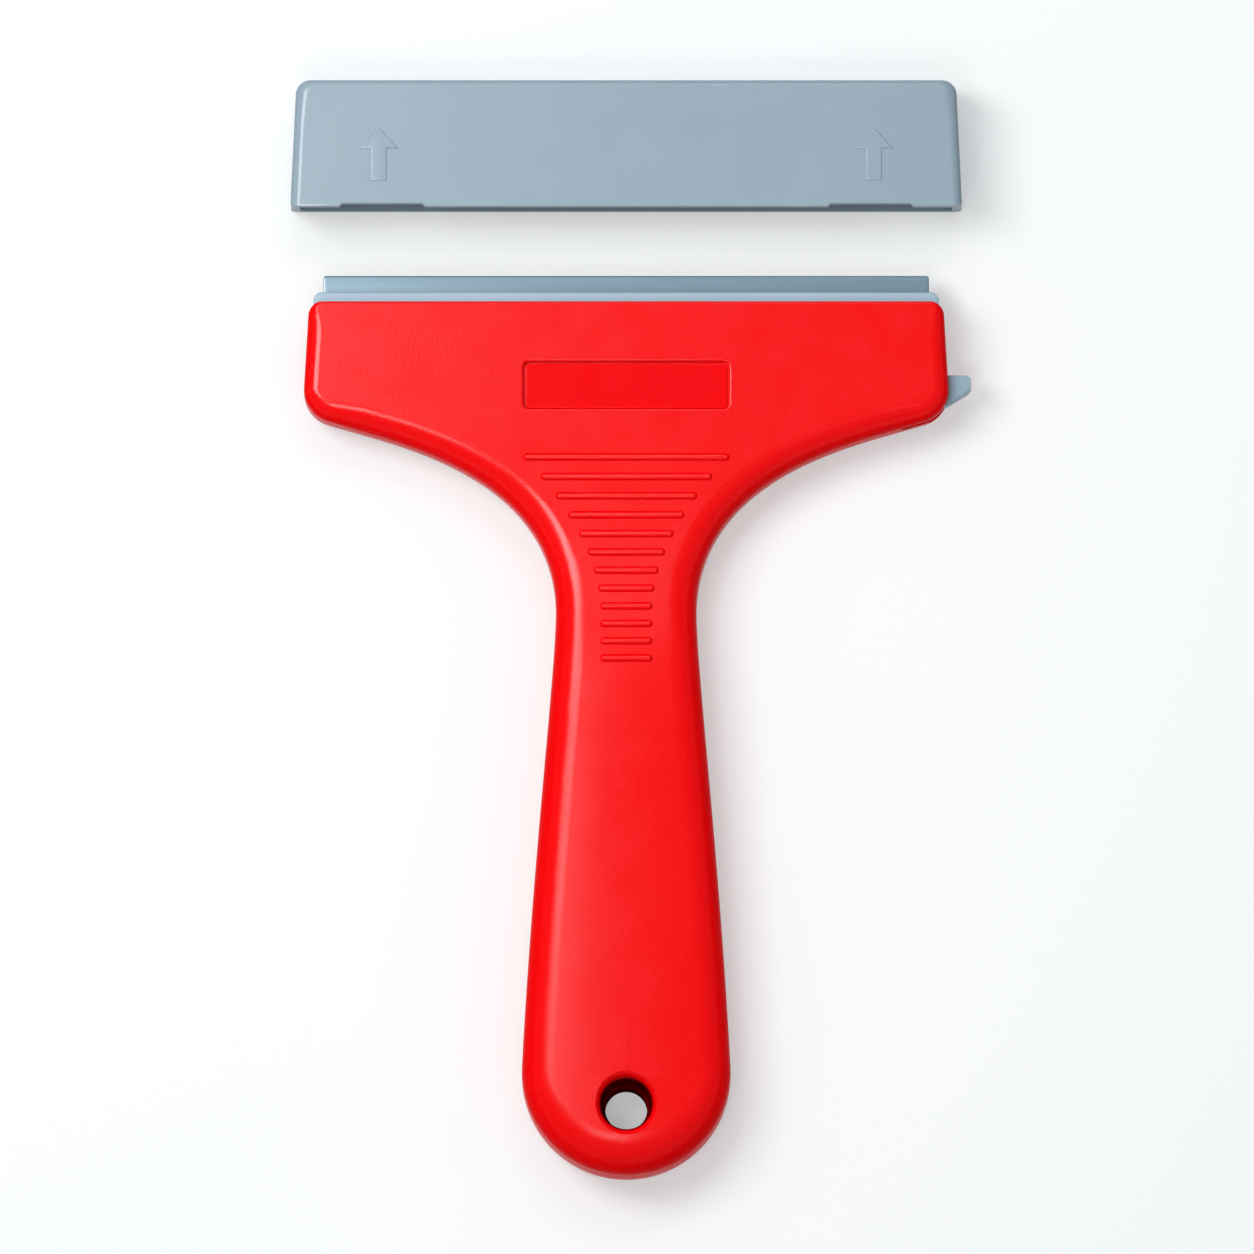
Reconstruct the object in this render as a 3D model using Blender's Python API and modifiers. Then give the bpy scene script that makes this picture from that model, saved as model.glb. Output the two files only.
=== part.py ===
"""Glass scraper: a red two-shell handle with a blade carrier, a release lever and a lift-off blade guard.

Metres, +Z up. The scraper lies on its back: X runs along the blade, +Y points from the handle to the
blade, and Z = 0 is the flat back of the handle. The origin is on that back, on the centre line, in the neck.
"""

import math

import bmesh
import bpy
from mathutils import Matrix, Vector

MM = 0.001

# Clearances
SEAT = 0.3 * MM
RUNNING = 0.2 * MM
PARTING_GAP = 0.3 * MM

# How far a cutter runs past a face, and how far a joined shape reaches into its neighbour
OVERRUN = 1.0 * MM
OVERLAP = 0.5 * MM

# Blade, and how far it stands out of its carrier
BLADE_WIDTH = 100.0 * MM
BLADE_HEIGHT = 18.0 * MM
BLADE_THICKNESS = 0.5 * MM
BLADE_REACH = 3.0 * MM
BLADE_GRIND = 0.7 * MM
BLADE_TIP_THICKNESS = 0.12 * MM
STUD_RADIUS = 1.3 * MM
STUD_SPACING = 0.3 * BLADE_WIDTH
STUD_BITE = 1.6 * MM

# Blade carrier: two jaws with a wide lip outside the head and a narrower plate inside
LIP_SIDE = 1.1 * MM
LIP_REACH = 1.8 * MM
LIP_SINK = 0.9 * MM
LIP_CORNER = 1.3 * MM
JAW_SIDE = 0.5 * MM
JAW_THICKNESS = 2.3 * MM
JAW_HEEL = 2.0 * MM
TONGUE_WIDTH = 6.8 * MM
TONGUE_LENGTH = 8.6 * MM
TONGUE_THICKNESS = 2.1 * MM
TONGUE_OVERLAP = 1.5 * MM
JAW_CORNER = 1.0 * MM

# Body outline, seen from the front
HEAD_TOP_Y = 54.4 * MM
BODY_LENGTH = 144.6 * MM
HEAD_SIDE = 0.75 * MM
HEAD_SPREAD = 1.1 * MM
HEAD_SIDE_LENGTH = 18.5 * MM
HEAD_TOP_CORNER = 2.3 * MM
HEAD_LOWER_CORNER = 5.5 * MM
SLANT_ANGLE = math.radians(16.0)
SLANT_LENGTH = 9.8 * MM
SLANT_PULL = 10.0 * MM
NECK_WIDTH = 23.2 * MM
NECK_FROM_TOP = 51.2 * MM
NECK_PULL_UP = 21.0 * MM
NECK_PULL_DOWN = 10.0 * MM
HANDLE_END_RADIUS = 17.2 * MM
HANDLE_TAPER = math.radians(3.0)
HANDLE_PULL = 36.0 * MM

# Body thickness: the head is raised off the table so that the guard can slide over it
HEAD_THICKNESS = 11.0 * MM
HANDLE_THICKNESS = 16.5 * MM
FRONT_RISE_LENGTH = 40.0 * MM
BACK_RISE_LENGTH = 16.0 * MM
BACK_RISE_FROM_TOP = 32.4 * MM
SIDE_WALL = 1.5 * MM
FACE_WALL = 2.3 * MM
HEAD_WEB = 2.0 * MM

# Rounding of the body's edges, as it reaches inwards over the face
ROUND_TOP = 0.45 * MM
ROUND_CORNER = 0.8 * MM
ROUND_SIDE = 2.0 * MM
ROUND_LOWER_CORNER = 3.5 * MM
ROUND_SLANT = 4.3 * MM
ROUND_END = 6.5 * MM
ROUND_BACK = 2.4 * MM
ROUND_STEPS = 4
OUTER_DROP = 4.0 * MM
INNER_DROP = 2.0 * MM
LEAST_ROUND = 0.3 * MM
LEAST_STEP = 0.02 * MM
LEAST_SIDE = 0.4 * MM

# Grip ribs on the front of the neck
RIB_COUNT = 12
RIB_RADIUS = 0.65 * MM
RIB_FIRST_FROM_TOP = 25.85 * MM
RIB_PITCH = 3.27 * MM
RIB_PITCH_LOSS = 0.0192 * MM
RIB_SHORT_HALF = 4.3 * MM
RIB_LONG_HALF = 17.0 * MM
RIB_FLARE_LENGTH = 26.0 * MM
RIB_FLARE_POWER = 1.9

# Label recess and its bare inlay
LABEL_WIDTH = 34.7 * MM
LABEL_HEIGHT = 8.6 * MM
LABEL_CORNER = 0.9 * MM
LABEL_FROM_TOP = 13.9 * MM
LABEL_DEPTH = 1.1 * MM
LABEL_PLATE_THICKNESS = 0.4 * MM

# Hanging hole
HOLE_FROM_END = 11.2 * MM
HOLE_FRONT_RADIUS = 4.25 * MM
HOLE_BACK_RADIUS = 3.55 * MM
HOLE_LIP = 1.1 * MM
HOLE_TUBE_WALL = 1.6 * MM

# Shell screws, driven from behind
SCREW_RADIUS = 1.25 * MM
SCREW_HEAD_RADIUS = 2.5 * MM
SCREW_HEAD_HEIGHT = 1.5 * MM
SCREW_RECESS = 2.2 * MM
SCREW_BITE = 3.4 * MM
SCREW_BOSS_WALL = 1.3 * MM
CROSS_LENGTH = 2.6 * MM
CROSS_WIDTH = 0.6 * MM
CROSS_DEPTH = 0.8 * MM
HEAD_SCREW_FROM_SIDE = 16.35 * MM
HEAD_SCREW_FROM_TOP = 18.4 * MM
INNER_SCREW_FROM_DRIVE = 9.15 * MM
INNER_SCREW_FROM_TOP = 23.4 * MM
NECK_SCREW_FROM_TOP = 42.4 * MM
UPPER_SCREW_FROM_END = 60.2 * MM
LOWER_SCREW_FROM_END = 28.2 * MM

# Release lever and its link to the carrier
LEVER_FROM_SIDE = 16.35 * MM
LEVER_FROM_TOP = 18.4 * MM
LEVER_SWING = math.radians(16.0)
LEVER_INNER_ARM = 16.0 * MM
LEVER_THICKNESS = 2.2 * MM
LEVER_HUB_RADIUS = 2.7 * MM
LEVER_ARM_WIDTH = 3.6 * MM
LEVER_ARM_HEEL = 1.2 * MM
LEVER_BELOW_MIDDLE = 0.5 * MM
LEVER_SLOT_ROOM = 0.4 * MM
LEVER_SLOT_START = 5.2 * MM
LEVER_SLOT_BELOW_TAB = 8.0 * MM
TAB_ROOT_DEPTH = 2.0 * MM
TAB_ROOT_CORNER = 0.5 * MM
TAB_REACH = 3.5 * MM
TAB_HEIGHT = 5.1 * MM
TAB_FROM_TOP = 11.9 * MM
TAB_THICKNESS = 3.4 * MM
TAB_CORNER = 1.0 * MM
TAB_SWEEP = 3.4 * MM
LEVER_PIN_RADIUS = 1.25 * MM
DRIVE_PIN_RADIUS = 1.0 * MM
DRIVE_PIN_TRAVEL_ROOM = 0.4 * MM
DRIVE_PIN_COVER = 0.5 * MM

# Torsion spring round the lower end of the lever pin
SPRING_WIRE_RADIUS = 0.25 * MM
SPRING_TURNS = 2
SPRING_PITCH = 0.8 * MM
SPRING_GAP = 0.3 * MM
SPRING_LEG = 8.0 * MM
SPRING_ARM_LEG = 6.5 * MM
SPRING_ARM_TURN = math.radians(18.0)
SPRING_POST_RADIUS = 0.8 * MM
SPRING_BOSS_RADIUS = 2.0 * MM

# Blade guard
GUARD_WALL = 1.6 * MM
GUARD_SIDE_WALL = 1.6 * MM
GUARD_CLEARANCE = 0.4 * MM
GUARD_SIDE_CLEARANCE = 0.4 * MM
GUARD_HEIGHT = 21.1 * MM
GUARD_TAPER = 1.0 * MM
GUARD_CORNER = 2.3 * MM
GUARD_INNER_CORNER = 0.6 * MM
GUARD_ROUND = 1.5 * MM
GUARD_STANDOFF = 10.7 * MM
GUARD_TRAVEL = 25.0 * MM
GUARD_BACK_SHORTER = 0.8 * MM
GUARD_STOP_WIDTH = 1.6 * MM
GUARD_STOP_X = 25.0 * MM
NOTCH_WIDTH = 14.0 * MM
NOTCH_DEPTH = 0.5 * MM
NOTCH_FROM_SIDE = 15.15 * MM
ARROW_HEIGHT = 8.5 * MM
ARROW_HEAD = 3.3 * MM
ARROW_WIDTH = 6.1 * MM
ARROW_SHAFT = 2.45 * MM
ARROW_RELIEF = 0.15 * MM
ARROW_FROM_MOUTH = 4.4 * MM

# Values that follow from the sizes above
HEAD_BACK_Z = GUARD_WALL + GUARD_CLEARANCE
HEAD_FRONT_Z = HEAD_BACK_Z + HEAD_THICKNESS
MIDDLE_Z = 0.5 * (HEAD_BACK_Z + HEAD_FRONT_Z)
FRONT_PARTING_Z = MIDDLE_Z + 0.5 * PARTING_GAP
BACK_PARTING_Z = MIDDLE_Z - 0.5 * PARTING_GAP
CAVITY_FRONT_Z = HEAD_FRONT_Z - FACE_WALL
CAVITY_BACK_Z = HEAD_BACK_Z + FACE_WALL
JAW_WIDTH = BLADE_WIDTH + 2.0 * JAW_SIDE
LIP_WIDTH = JAW_WIDTH + 2.0 * LIP_SIDE
HEAD_WIDTH = LIP_WIDTH + 2.0 * HEAD_SIDE
JAW_INNER_GAP = 0.5 * BLADE_THICKNESS + SEAT
FRONT_JAW_LOW = MIDDLE_Z + JAW_INNER_GAP
FRONT_JAW_HIGH = FRONT_JAW_LOW + JAW_THICKNESS
BACK_JAW_HIGH = MIDDLE_Z - JAW_INNER_GAP
BACK_JAW_LOW = BACK_JAW_HIGH - JAW_THICKNESS
LIP_TOP_Y = HEAD_TOP_Y + LIP_REACH
LIP_LOW_Y = HEAD_TOP_Y - LIP_SINK
BLADE_TOP_Y = LIP_TOP_Y + BLADE_REACH
BLADE_LOW_Y = BLADE_TOP_Y - BLADE_HEIGHT
JAW_LOW_Y = BLADE_LOW_Y - JAW_HEEL
STUD_Y = 0.5 * (BLADE_LOW_Y + LIP_LOW_Y)
BODY_END_Y = HEAD_TOP_Y - BODY_LENGTH
NECK_Y = HEAD_TOP_Y - NECK_FROM_TOP
FRONT_RISE_TOP_Y = HEAD_TOP_Y - RIB_FIRST_FROM_TOP - RIB_PITCH
HOLE_Y = BODY_END_Y + HOLE_FROM_END
LEVER_X = 0.5 * HEAD_WIDTH - LEVER_FROM_SIDE
LEVER_Y = HEAD_TOP_Y - LEVER_FROM_TOP
LEVER_LOW_Z = MIDDLE_Z - LEVER_BELOW_MIDDLE
LEVER_HIGH_Z = LEVER_LOW_Z + LEVER_THICKNESS
DRIVE_X = LEVER_X - LEVER_INNER_ARM * math.cos(0.5 * LEVER_SWING)
DRIVE_Y = LEVER_Y - LEVER_INNER_ARM * math.sin(0.5 * LEVER_SWING)
TAB_TOP_Y = HEAD_TOP_Y - TAB_FROM_TOP
TAB_LOW_Y = TAB_TOP_Y - TAB_HEIGHT
GUARD_DEPTH = HEAD_THICKNESS + 2.0 * (GUARD_CLEARANCE + GUARD_WALL)
GUARD_MOUTH_Y = BLADE_TOP_Y + GUARD_STANDOFF
GUARD_TOP_Y = GUARD_MOUTH_Y + GUARD_HEIGHT
GUARD_MOUTH_HALF = 0.5 * HEAD_WIDTH + HEAD_SPREAD + GUARD_SIDE_CLEARANCE + GUARD_SIDE_WALL
NOTCH_X = GUARD_MOUTH_HALF - NOTCH_FROM_SIDE

# Colours, roughness and metallic value of each finish
FINISHES = {
    "red_plastic": ((0.90, 0.012, 0.016, 1.0), 0.42, 0.0),
    "label_red": ((0.72, 0.006, 0.012, 1.0), 0.22, 0.0),
    "guard_grey": ((0.36, 0.47, 0.55, 1.0), 0.45, 0.0),
    "carrier_grey": ((0.44, 0.55, 0.63, 1.0), 0.45, 0.0),
    "blade_steel": ((0.38, 0.45, 0.50, 1.0), 0.3, 1.0),
    "screw_steel": ((0.55, 0.56, 0.58, 1.0), 0.35, 1.0),
}


def clear_scene():
    for item in list(bpy.data.objects):
        bpy.data.objects.remove(item, do_unlink=True)


def new_collection(name):
    collection = bpy.data.collections.new(name)
    bpy.context.scene.collection.children.link(collection)
    return collection


def finish(name):
    """The material of that finish, made once."""
    if name in bpy.data.materials:
        return bpy.data.materials[name]
    colour, roughness, metallic = FINISHES[name]
    material = bpy.data.materials.new(name)
    material.use_nodes = True
    shader = material.node_tree.nodes["Principled BSDF"]
    shader.inputs["Base Color"].default_value = colour
    shader.inputs["Roughness"].default_value = roughness
    shader.inputs["Metallic"].default_value = metallic
    material.diffuse_color = colour
    return material


def add_piece(name, mesh, material):
    """A sub-part in the scraper's collection, smooth except at its sharp edges."""
    piece = bpy.data.objects.new(name, mesh)
    parts.objects.link(piece)
    mesh.materials.append(finish(material))
    mesh.shade_smooth()
    mesh.set_sharp_from_angle(angle=math.radians(35.0))
    return piece


def add_tool(name, mesh):
    """A shape that cuts or joins a sub-part, and is not one itself."""
    tool = bpy.data.objects.new(name, mesh)
    cutters.objects.link(tool)
    tool.hide_render = True
    tool.display_type = "WIRE"
    return tool


def shape(piece, tool, operation):
    """A Boolean step: the manifold solver for the two shells' fine lofts, the exact one for every other piece."""
    modifier = piece.modifiers.new(tool.name, "BOOLEAN")
    modifier.operation = operation
    modifier.solver = "MANIFOLD" if piece.name.endswith("_shell") else "EXACT"
    modifier.object = tool


def cut(piece, tool):
    shape(piece, tool, "DIFFERENCE")


def join(piece, tool):
    shape(piece, tool, "UNION")


def mesh_from(bm, name):
    bmesh.ops.recalc_face_normals(bm, faces=bm.faces)
    mesh = bpy.data.meshes.new(name)
    bm.to_mesh(mesh)
    bm.free()
    return mesh


def cylinder(bm, x, y, z_low, z_high, radius, top_radius=None, segments=24):
    """A round bar along Z, or a cone when its top has another radius."""
    place = Matrix.Translation((x, y, 0.5 * (z_low + z_high)))
    top = radius if top_radius is None else top_radius
    bmesh.ops.create_cone(
        bm, cap_ends=True, segments=segments, radius1=radius, radius2=top, depth=z_high - z_low, matrix=place
    )


def box(bm, low, high):
    middle = [0.5 * (a + b) for a, b in zip(low, high)]
    size = [b - a for a, b in zip(low, high)]
    bmesh.ops.create_cube(bm, size=1.0, matrix=Matrix.Translation(middle) @ Matrix.Diagonal((*size, 1.0)))


def bars_mesh(name, bars):
    """One mesh of separate round bars along Z, each (x, y, z_low, z_high, radius)."""
    bm = bmesh.new()
    for x, y, z_low, z_high, radius in bars:
        cylinder(bm, x, y, z_low, z_high, radius)
    return mesh_from(bm, name)


def boxes_mesh(name, boxes):
    bm = bmesh.new()
    for low, high in boxes:
        box(bm, low, high)
    return mesh_from(bm, name)


def plate_mesh(name, outline, z_low, z_high):
    """A flat plate of that outline: the walls of an extruded 2D curve, closed by one face at each end."""
    curve = bpy.data.curves.new(name, "CURVE")
    curve.dimensions = "2D"
    curve.fill_mode = "NONE"
    curve.extrude = 0.5 * (z_high - z_low)
    spline = curve.splines.new("POLY")
    spline.points.add(len(outline) - 1)
    for point, (x, y) in zip(spline.points, outline):
        point.co = (x, y, 0.0, 1.0)
    spline.use_cyclic_u = True
    holder = bpy.data.objects.new(name + "_curve", curve)
    cutters.objects.link(holder)
    graph = bpy.context.evaluated_depsgraph_get()
    mesh = bpy.data.meshes.new_from_object(holder.evaluated_get(graph))
    bpy.data.objects.remove(holder, do_unlink=True)
    bm = bmesh.new()
    bm.from_mesh(mesh)
    bpy.data.meshes.remove(mesh)
    bmesh.ops.remove_doubles(bm, verts=bm.verts, dist=1e-6)
    bmesh.ops.holes_fill(bm, edges=bm.edges, sides=0)
    bmesh.ops.translate(bm, verts=bm.verts, vec=(0.0, 0.0, 0.5 * (z_low + z_high)))
    return mesh_from(bm, name)


def arc(centre, radius, start, end, steps):
    """Points of a round stretch, from one angle to the other, in radians."""
    turns = [start + (end - start) * i / steps for i in range(steps + 1)]
    return [(centre[0] + radius * math.cos(a), centre[1] + radius * math.sin(a)) for a in turns]


def rounded_corner(before, corner, after, radius, steps):
    """The arc that takes the place of a corner between two straight lines."""
    to_before = (Vector(before) - Vector(corner)).normalized()
    to_after = (Vector(after) - Vector(corner)).normalized()
    half = 0.5 * to_before.angle(to_after)
    middle = (to_before + to_after).normalized()
    centre = Vector(corner) + middle * (radius / math.sin(half))
    first = Vector(corner) + to_before * (radius / math.tan(half)) - centre
    last = Vector(corner) + to_after * (radius / math.tan(half)) - centre
    sweep = first.angle_signed(last)
    start = math.atan2(first.y, first.x)
    return arc(centre, radius, start, start - sweep, steps)


def rounded_outline(corners):
    """A closed outline of (x, y, radius, steps) corners, each rounded by its radius."""
    points = []
    for i, (x, y, radius, steps) in enumerate(corners):
        if radius == 0.0:
            points.append((x, y))
            continue
        before = corners[i - 1][:2]
        after = corners[(i + 1) % len(corners)][:2]
        points.extend(rounded_corner(before, (x, y), after, radius, steps))
    return points


def rounded_rectangle(width, y_low, y_high, radius, steps):
    half = 0.5 * width
    corners = [(half, y_low), (half, y_high), (-half, y_high), (-half, y_low)]
    return rounded_outline([(x, y, radius, steps) for x, y in corners])


def bend(start, start_pull, end_pull, end, steps):
    """A cubic curve between two points, pulled towards the two middle ones."""
    points = []
    for i in range(1, steps + 1):
        t = i / steps
        weights = ((1 - t) ** 3, 3 * (1 - t) ** 2 * t, 3 * (1 - t) * t * t, t**3)
        spots = (start, start_pull, end_pull, end)
        points.append(tuple(sum(w * p[axis] for w, p in zip(weights, spots)) for axis in (0, 1)))
    return points


def smooth_step(value):
    value = min(1.0, max(0.0, value))
    return value * value * (3.0 - 2.0 * value)


def front_z(y):
    """The body's front face, which rises from the head to the handle."""
    share = smooth_step((FRONT_RISE_TOP_Y - y) / FRONT_RISE_LENGTH)
    return HEAD_FRONT_Z + (HANDLE_THICKNESS - HEAD_FRONT_Z) * share


def back_z(y):
    """The body's back face, which lies on the table below the neck and rises to the head."""
    share = smooth_step((HEAD_TOP_Y - BACK_RISE_FROM_TOP - y) / BACK_RISE_LENGTH)
    return HEAD_BACK_Z * (1.0 - share)


def half_outline():
    """The right half of the body's outline from the top corner to the lower end, as (x, y, edge rounding)."""
    half_top = 0.5 * HEAD_WIDTH
    shoulder = (half_top + HEAD_SPREAD, HEAD_TOP_Y - HEAD_SIDE_LENGTH)
    slant_x = shoulder[0] - SLANT_LENGTH * math.cos(SLANT_ANGLE)
    slant_y = shoulder[1] - SLANT_LENGTH * math.sin(SLANT_ANGLE)
    corner = (half_top, HEAD_TOP_Y)
    rows = []
    for x, y in rounded_corner((0.0, HEAD_TOP_Y), corner, shoulder, HEAD_TOP_CORNER, 4):
        rows.append((x, y, ROUND_CORNER))
    top_x, top_y, _ = rows[-1]
    lower = rounded_corner(corner, shoulder, (slant_x, slant_y), HEAD_LOWER_CORNER, 6)
    for share in (0.15, 0.35, 0.65):
        x = top_x + (lower[0][0] - top_x) * share
        y = top_y + (lower[0][1] - top_y) * share
        rows.append((x, y, ROUND_CORNER + (ROUND_SIDE - ROUND_CORNER) * smooth_step(share / 0.35)))
    for i, (x, y) in enumerate(lower):
        share = smooth_step(i / (len(lower) - 1))
        rows.append((x, y, ROUND_SIDE + (ROUND_LOWER_CORNER - ROUND_SIDE) * share))
    rows.append((slant_x, slant_y, ROUND_SLANT))
    pull_x = slant_x - SLANT_PULL * math.cos(SLANT_ANGLE)
    pull_y = slant_y - SLANT_PULL * math.sin(SLANT_ANGLE)
    neck_x = 0.5 * NECK_WIDTH
    curve = bend((slant_x, slant_y), (pull_x, pull_y), (neck_x, NECK_Y + NECK_PULL_UP), (neck_x, NECK_Y), 14)
    rows.extend((x, y, ROUND_SLANT) for x, y in curve)
    end_centre = (0.0, BODY_END_Y + HANDLE_END_RADIUS)
    end = arc(end_centre, HANDLE_END_RADIUS, HANDLE_TAPER, -0.5 * math.pi, 12)
    pull_x = end[0][0] - HANDLE_PULL * math.sin(HANDLE_TAPER)
    pull = (pull_x, end[0][1] + HANDLE_PULL * math.cos(HANDLE_TAPER))
    curve = bend((neck_x, NECK_Y), (neck_x, NECK_Y - NECK_PULL_DOWN), pull, end[0], 12)
    rows.extend((x, y, ROUND_SLANT) for x, y in curve)
    for i, (x, y) in enumerate(end[1:], 1):
        share = smooth_step(i / (len(end) - 1))
        rows.append((x, y, ROUND_SLANT + (ROUND_END - ROUND_SLANT) * share))
    return rows


def with_normals(rows):
    """Each outline row as (x, y, normal x, normal y, rounding), the normal pointing out of the body."""
    spots = [(0.0, HEAD_TOP_Y)] + [row[:2] for row in rows] + [(-rows[-2][0], rows[-2][1])]
    result = []
    for i, (x, y, rounding) in enumerate(rows, 1):
        along = Vector((spots[i + 1][0] - spots[i - 1][0], spots[i + 1][1] - spots[i - 1][1])).normalized()
        result.append((x, y, -along.y, along.x, rounding))
    first = result[0]
    result[0] = (first[0], first[1], 0.0, 1.0, ROUND_TOP)
    last = result[-1]
    result[-1] = (0.0, last[1], 0.0, -1.0, last[4])
    return [(0.0, HEAD_TOP_Y, 0.0, 1.0, ROUND_TOP)] + result


def limit_rounding(rows):
    """Outline rows whose rounding ends no higher up the face than that of the row before."""
    limited = []
    last_y = rows[0][1] + OVERRUN
    for x, y, nx, ny, rounding in rows:
        if ny < 0.0:
            rounding = min(rounding, (last_y - LEAST_STEP - y) / -ny)
        last_y = y - ny * rounding
        limited.append((x, y, nx, ny, rounding))
    return limited


def inset_rows(rows, depth, top_y):
    """The outline moved inwards by a wall's thickness, and closed by a straight edge at top_y."""
    moved = []
    for x, y, nx, ny, rounding in rows:
        moved.append((x - nx * depth, y - ny * depth, nx, ny, max(rounding - depth, LEAST_ROUND)))
    kept = [row for row in moved[2:] if row[1] < top_y - OVERLAP]
    side_x = kept[0][0]
    start = [(0.0, top_y, 0.0, 1.0, kept[0][4]), (side_x, top_y, 1.0, 1.0, kept[0][4])]
    last = kept[-1]
    return start + kept[:-1] + [(0.0, last[1], 0.0, -1.0, last[4])]


def loft_mesh(name, rows, base_z, face_z, most_drop):
    """A closed body between a flat base and a face that follows face_z, rounded along the outline."""
    bm = bmesh.new()
    sections = []
    for x, y, nx, ny, rounding in limit_rounding(rows):
        spots = [(0.0, y, base_z), (x, y, base_z)]
        room = abs(face_z(y) - base_z) - LEAST_SIDE
        drop = min(rounding, most_drop, room)
        side = 1.0 if face_z(y) > base_z else -1.0
        for i in range(ROUND_STEPS + 1):
            turn = 0.5 * math.pi * i / ROUND_STEPS
            reach = rounding * (1.0 - math.cos(turn))
            low = drop * (1.0 - math.sin(turn))
            spot_y = y - ny * reach
            spots.append((max(0.0, x - nx * reach), spot_y, face_z(spot_y) - side * low))
        spots.append((0.0, spots[-1][1], spots[-1][2]))
        sections.append([bm.verts.new(spot) for spot in spots])
    for upper, lower in zip(sections, sections[1:]):
        for i in range(len(upper) - 1):
            bm.faces.new((upper[i], upper[i + 1], lower[i + 1], lower[i]))
    bmesh.ops.remove_doubles(bm, verts=bm.verts, dist=1e-6)
    bmesh.ops.dissolve_degenerate(bm, edges=bm.edges, dist=1e-6)
    half = bm.verts[:] + bm.edges[:] + bm.faces[:]
    bmesh.ops.mirror(bm, geom=half, matrix=Matrix.Identity(4), merge_dist=1e-6, axis="X")
    on_plane = [f for f in bm.faces if all(abs(v.co.x) < 1e-7 for v in f.verts)]
    bmesh.ops.delete(bm, geom=on_plane, context="FACES_ONLY")
    bmesh.ops.triangulate(bm, faces=[f for f in bm.faces if len(f.verts) > 3])
    return mesh_from(bm, name)


def screw_sites():
    """Each shell screw's name and place."""
    outer_x = 0.5 * HEAD_WIDTH - HEAD_SCREW_FROM_SIDE
    inner_x = DRIVE_X - INNER_SCREW_FROM_DRIVE
    return {
        "shell_screw_head_left": (-outer_x, HEAD_TOP_Y - HEAD_SCREW_FROM_TOP),
        "shell_screw_head_middle": (-inner_x, HEAD_TOP_Y - INNER_SCREW_FROM_TOP),
        "shell_screw_head_right": (inner_x, HEAD_TOP_Y - INNER_SCREW_FROM_TOP),
        "shell_screw_neck": (0.0, HEAD_TOP_Y - NECK_SCREW_FROM_TOP),
        "shell_screw_handle_upper": (0.0, BODY_END_Y + UPPER_SCREW_FROM_END),
        "shell_screw_handle_lower": (0.0, BODY_END_Y + LOWER_SCREW_FROM_END),
    }


def screw_tip_z():
    return FRONT_PARTING_Z + SCREW_BITE


def cut_mouth(shell, name):
    """The opening at the head's top: a wide seat for the lip, and a slot for the plate."""
    half_lip = 0.5 * LIP_WIDTH + SEAT
    half_jaw = 0.5 * JAW_WIDTH + SEAT
    low_z = BACK_JAW_LOW - SEAT
    high_z = FRONT_JAW_HIGH + SEAT
    seat_y = LIP_LOW_Y - SEAT
    beyond_y = HEAD_TOP_Y + OVERRUN
    lip = [((-half_lip, seat_y, low_z), (half_lip, beyond_y, high_z))]
    cut(shell, add_tool(name + "_lip_seat", boxes_mesh(name + "_lip_seat", lip)))
    slot_low_y = seat_y - HEAD_WEB - OVERRUN
    slot = [((-half_jaw, slot_low_y, low_z), (half_jaw, seat_y + OVERRUN, high_z))]
    cut(shell, add_tool(name + "_jaw_slot", boxes_mesh(name + "_jaw_slot", slot)))


def lever_slot_mesh(name):
    """The slot round the lower right corner of the head, which the lever passes and swings in."""
    room = LEVER_SLOT_ROOM
    low = (LEVER_X + LEVER_SLOT_START, TAB_LOW_Y - LEVER_SLOT_BELOW_TAB, LEVER_HIGH_Z - TAB_THICKNESS - room)
    high = (HEAD_WIDTH, TAB_TOP_Y + room, LEVER_HIGH_Z + room)
    return boxes_mesh(name, [(low, high)])


def hole_lip_mesh(name, radius, face, side):
    """The rounded mouth of the hanging hole, as a turned cutter."""
    bm = bmesh.new()
    profile = [(0.0, face + side * HOLE_LIP), (radius + HOLE_LIP, face + side * HOLE_LIP)]
    for i in range(ROUND_STEPS + 1):
        turn = 0.5 * math.pi * i / ROUND_STEPS
        reach = radius + HOLE_LIP * (1.0 - math.sin(turn))
        profile.append((reach, face - side * HOLE_LIP * (1.0 - math.cos(turn))))
    profile.append((0.0, face - side * HOLE_LIP))
    verts = [bm.verts.new((x, 0.0, z)) for x, z in profile]
    edges = [bm.edges.new(pair) for pair in zip(verts, verts[1:])]
    bmesh.ops.spin(
        bm, geom=verts + edges, cent=(0, 0, 0), axis=(0, 0, 1), angle=2.0 * math.pi, steps=32, use_merge=True
    )
    bmesh.ops.remove_doubles(bm, verts=bm.verts, dist=1e-6)
    bmesh.ops.translate(bm, verts=bm.verts, vec=(0.0, HOLE_Y, 0.0))
    return mesh_from(bm, name)


def make_shell_form(name, side, rows):
    """One hollow half of the body, before its bosses, ribs and holes. side is 1 in front and -1 behind."""
    face = front_z if side > 0 else back_z
    base = FRONT_PARTING_Z if side > 0 else BACK_PARTING_Z
    rounded = rows if side > 0 else [(*row[:4], min(row[4], ROUND_BACK)) for row in rows]
    piece = add_piece(name, loft_mesh(name, rounded, base, face, OUTER_DROP), "red_plastic")
    cavity_top = LIP_LOW_Y - SEAT - HEAD_WEB
    inner = inset_rows(rounded, SIDE_WALL, cavity_top)

    def inner_face(y):
        return face(y) - side * FACE_WALL

    hollow = loft_mesh(name + "_hollow", inner, base - side * OVERRUN, inner_face, INNER_DROP)
    cut(piece, add_tool(name + "_hollow", hollow))
    return piece


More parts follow.
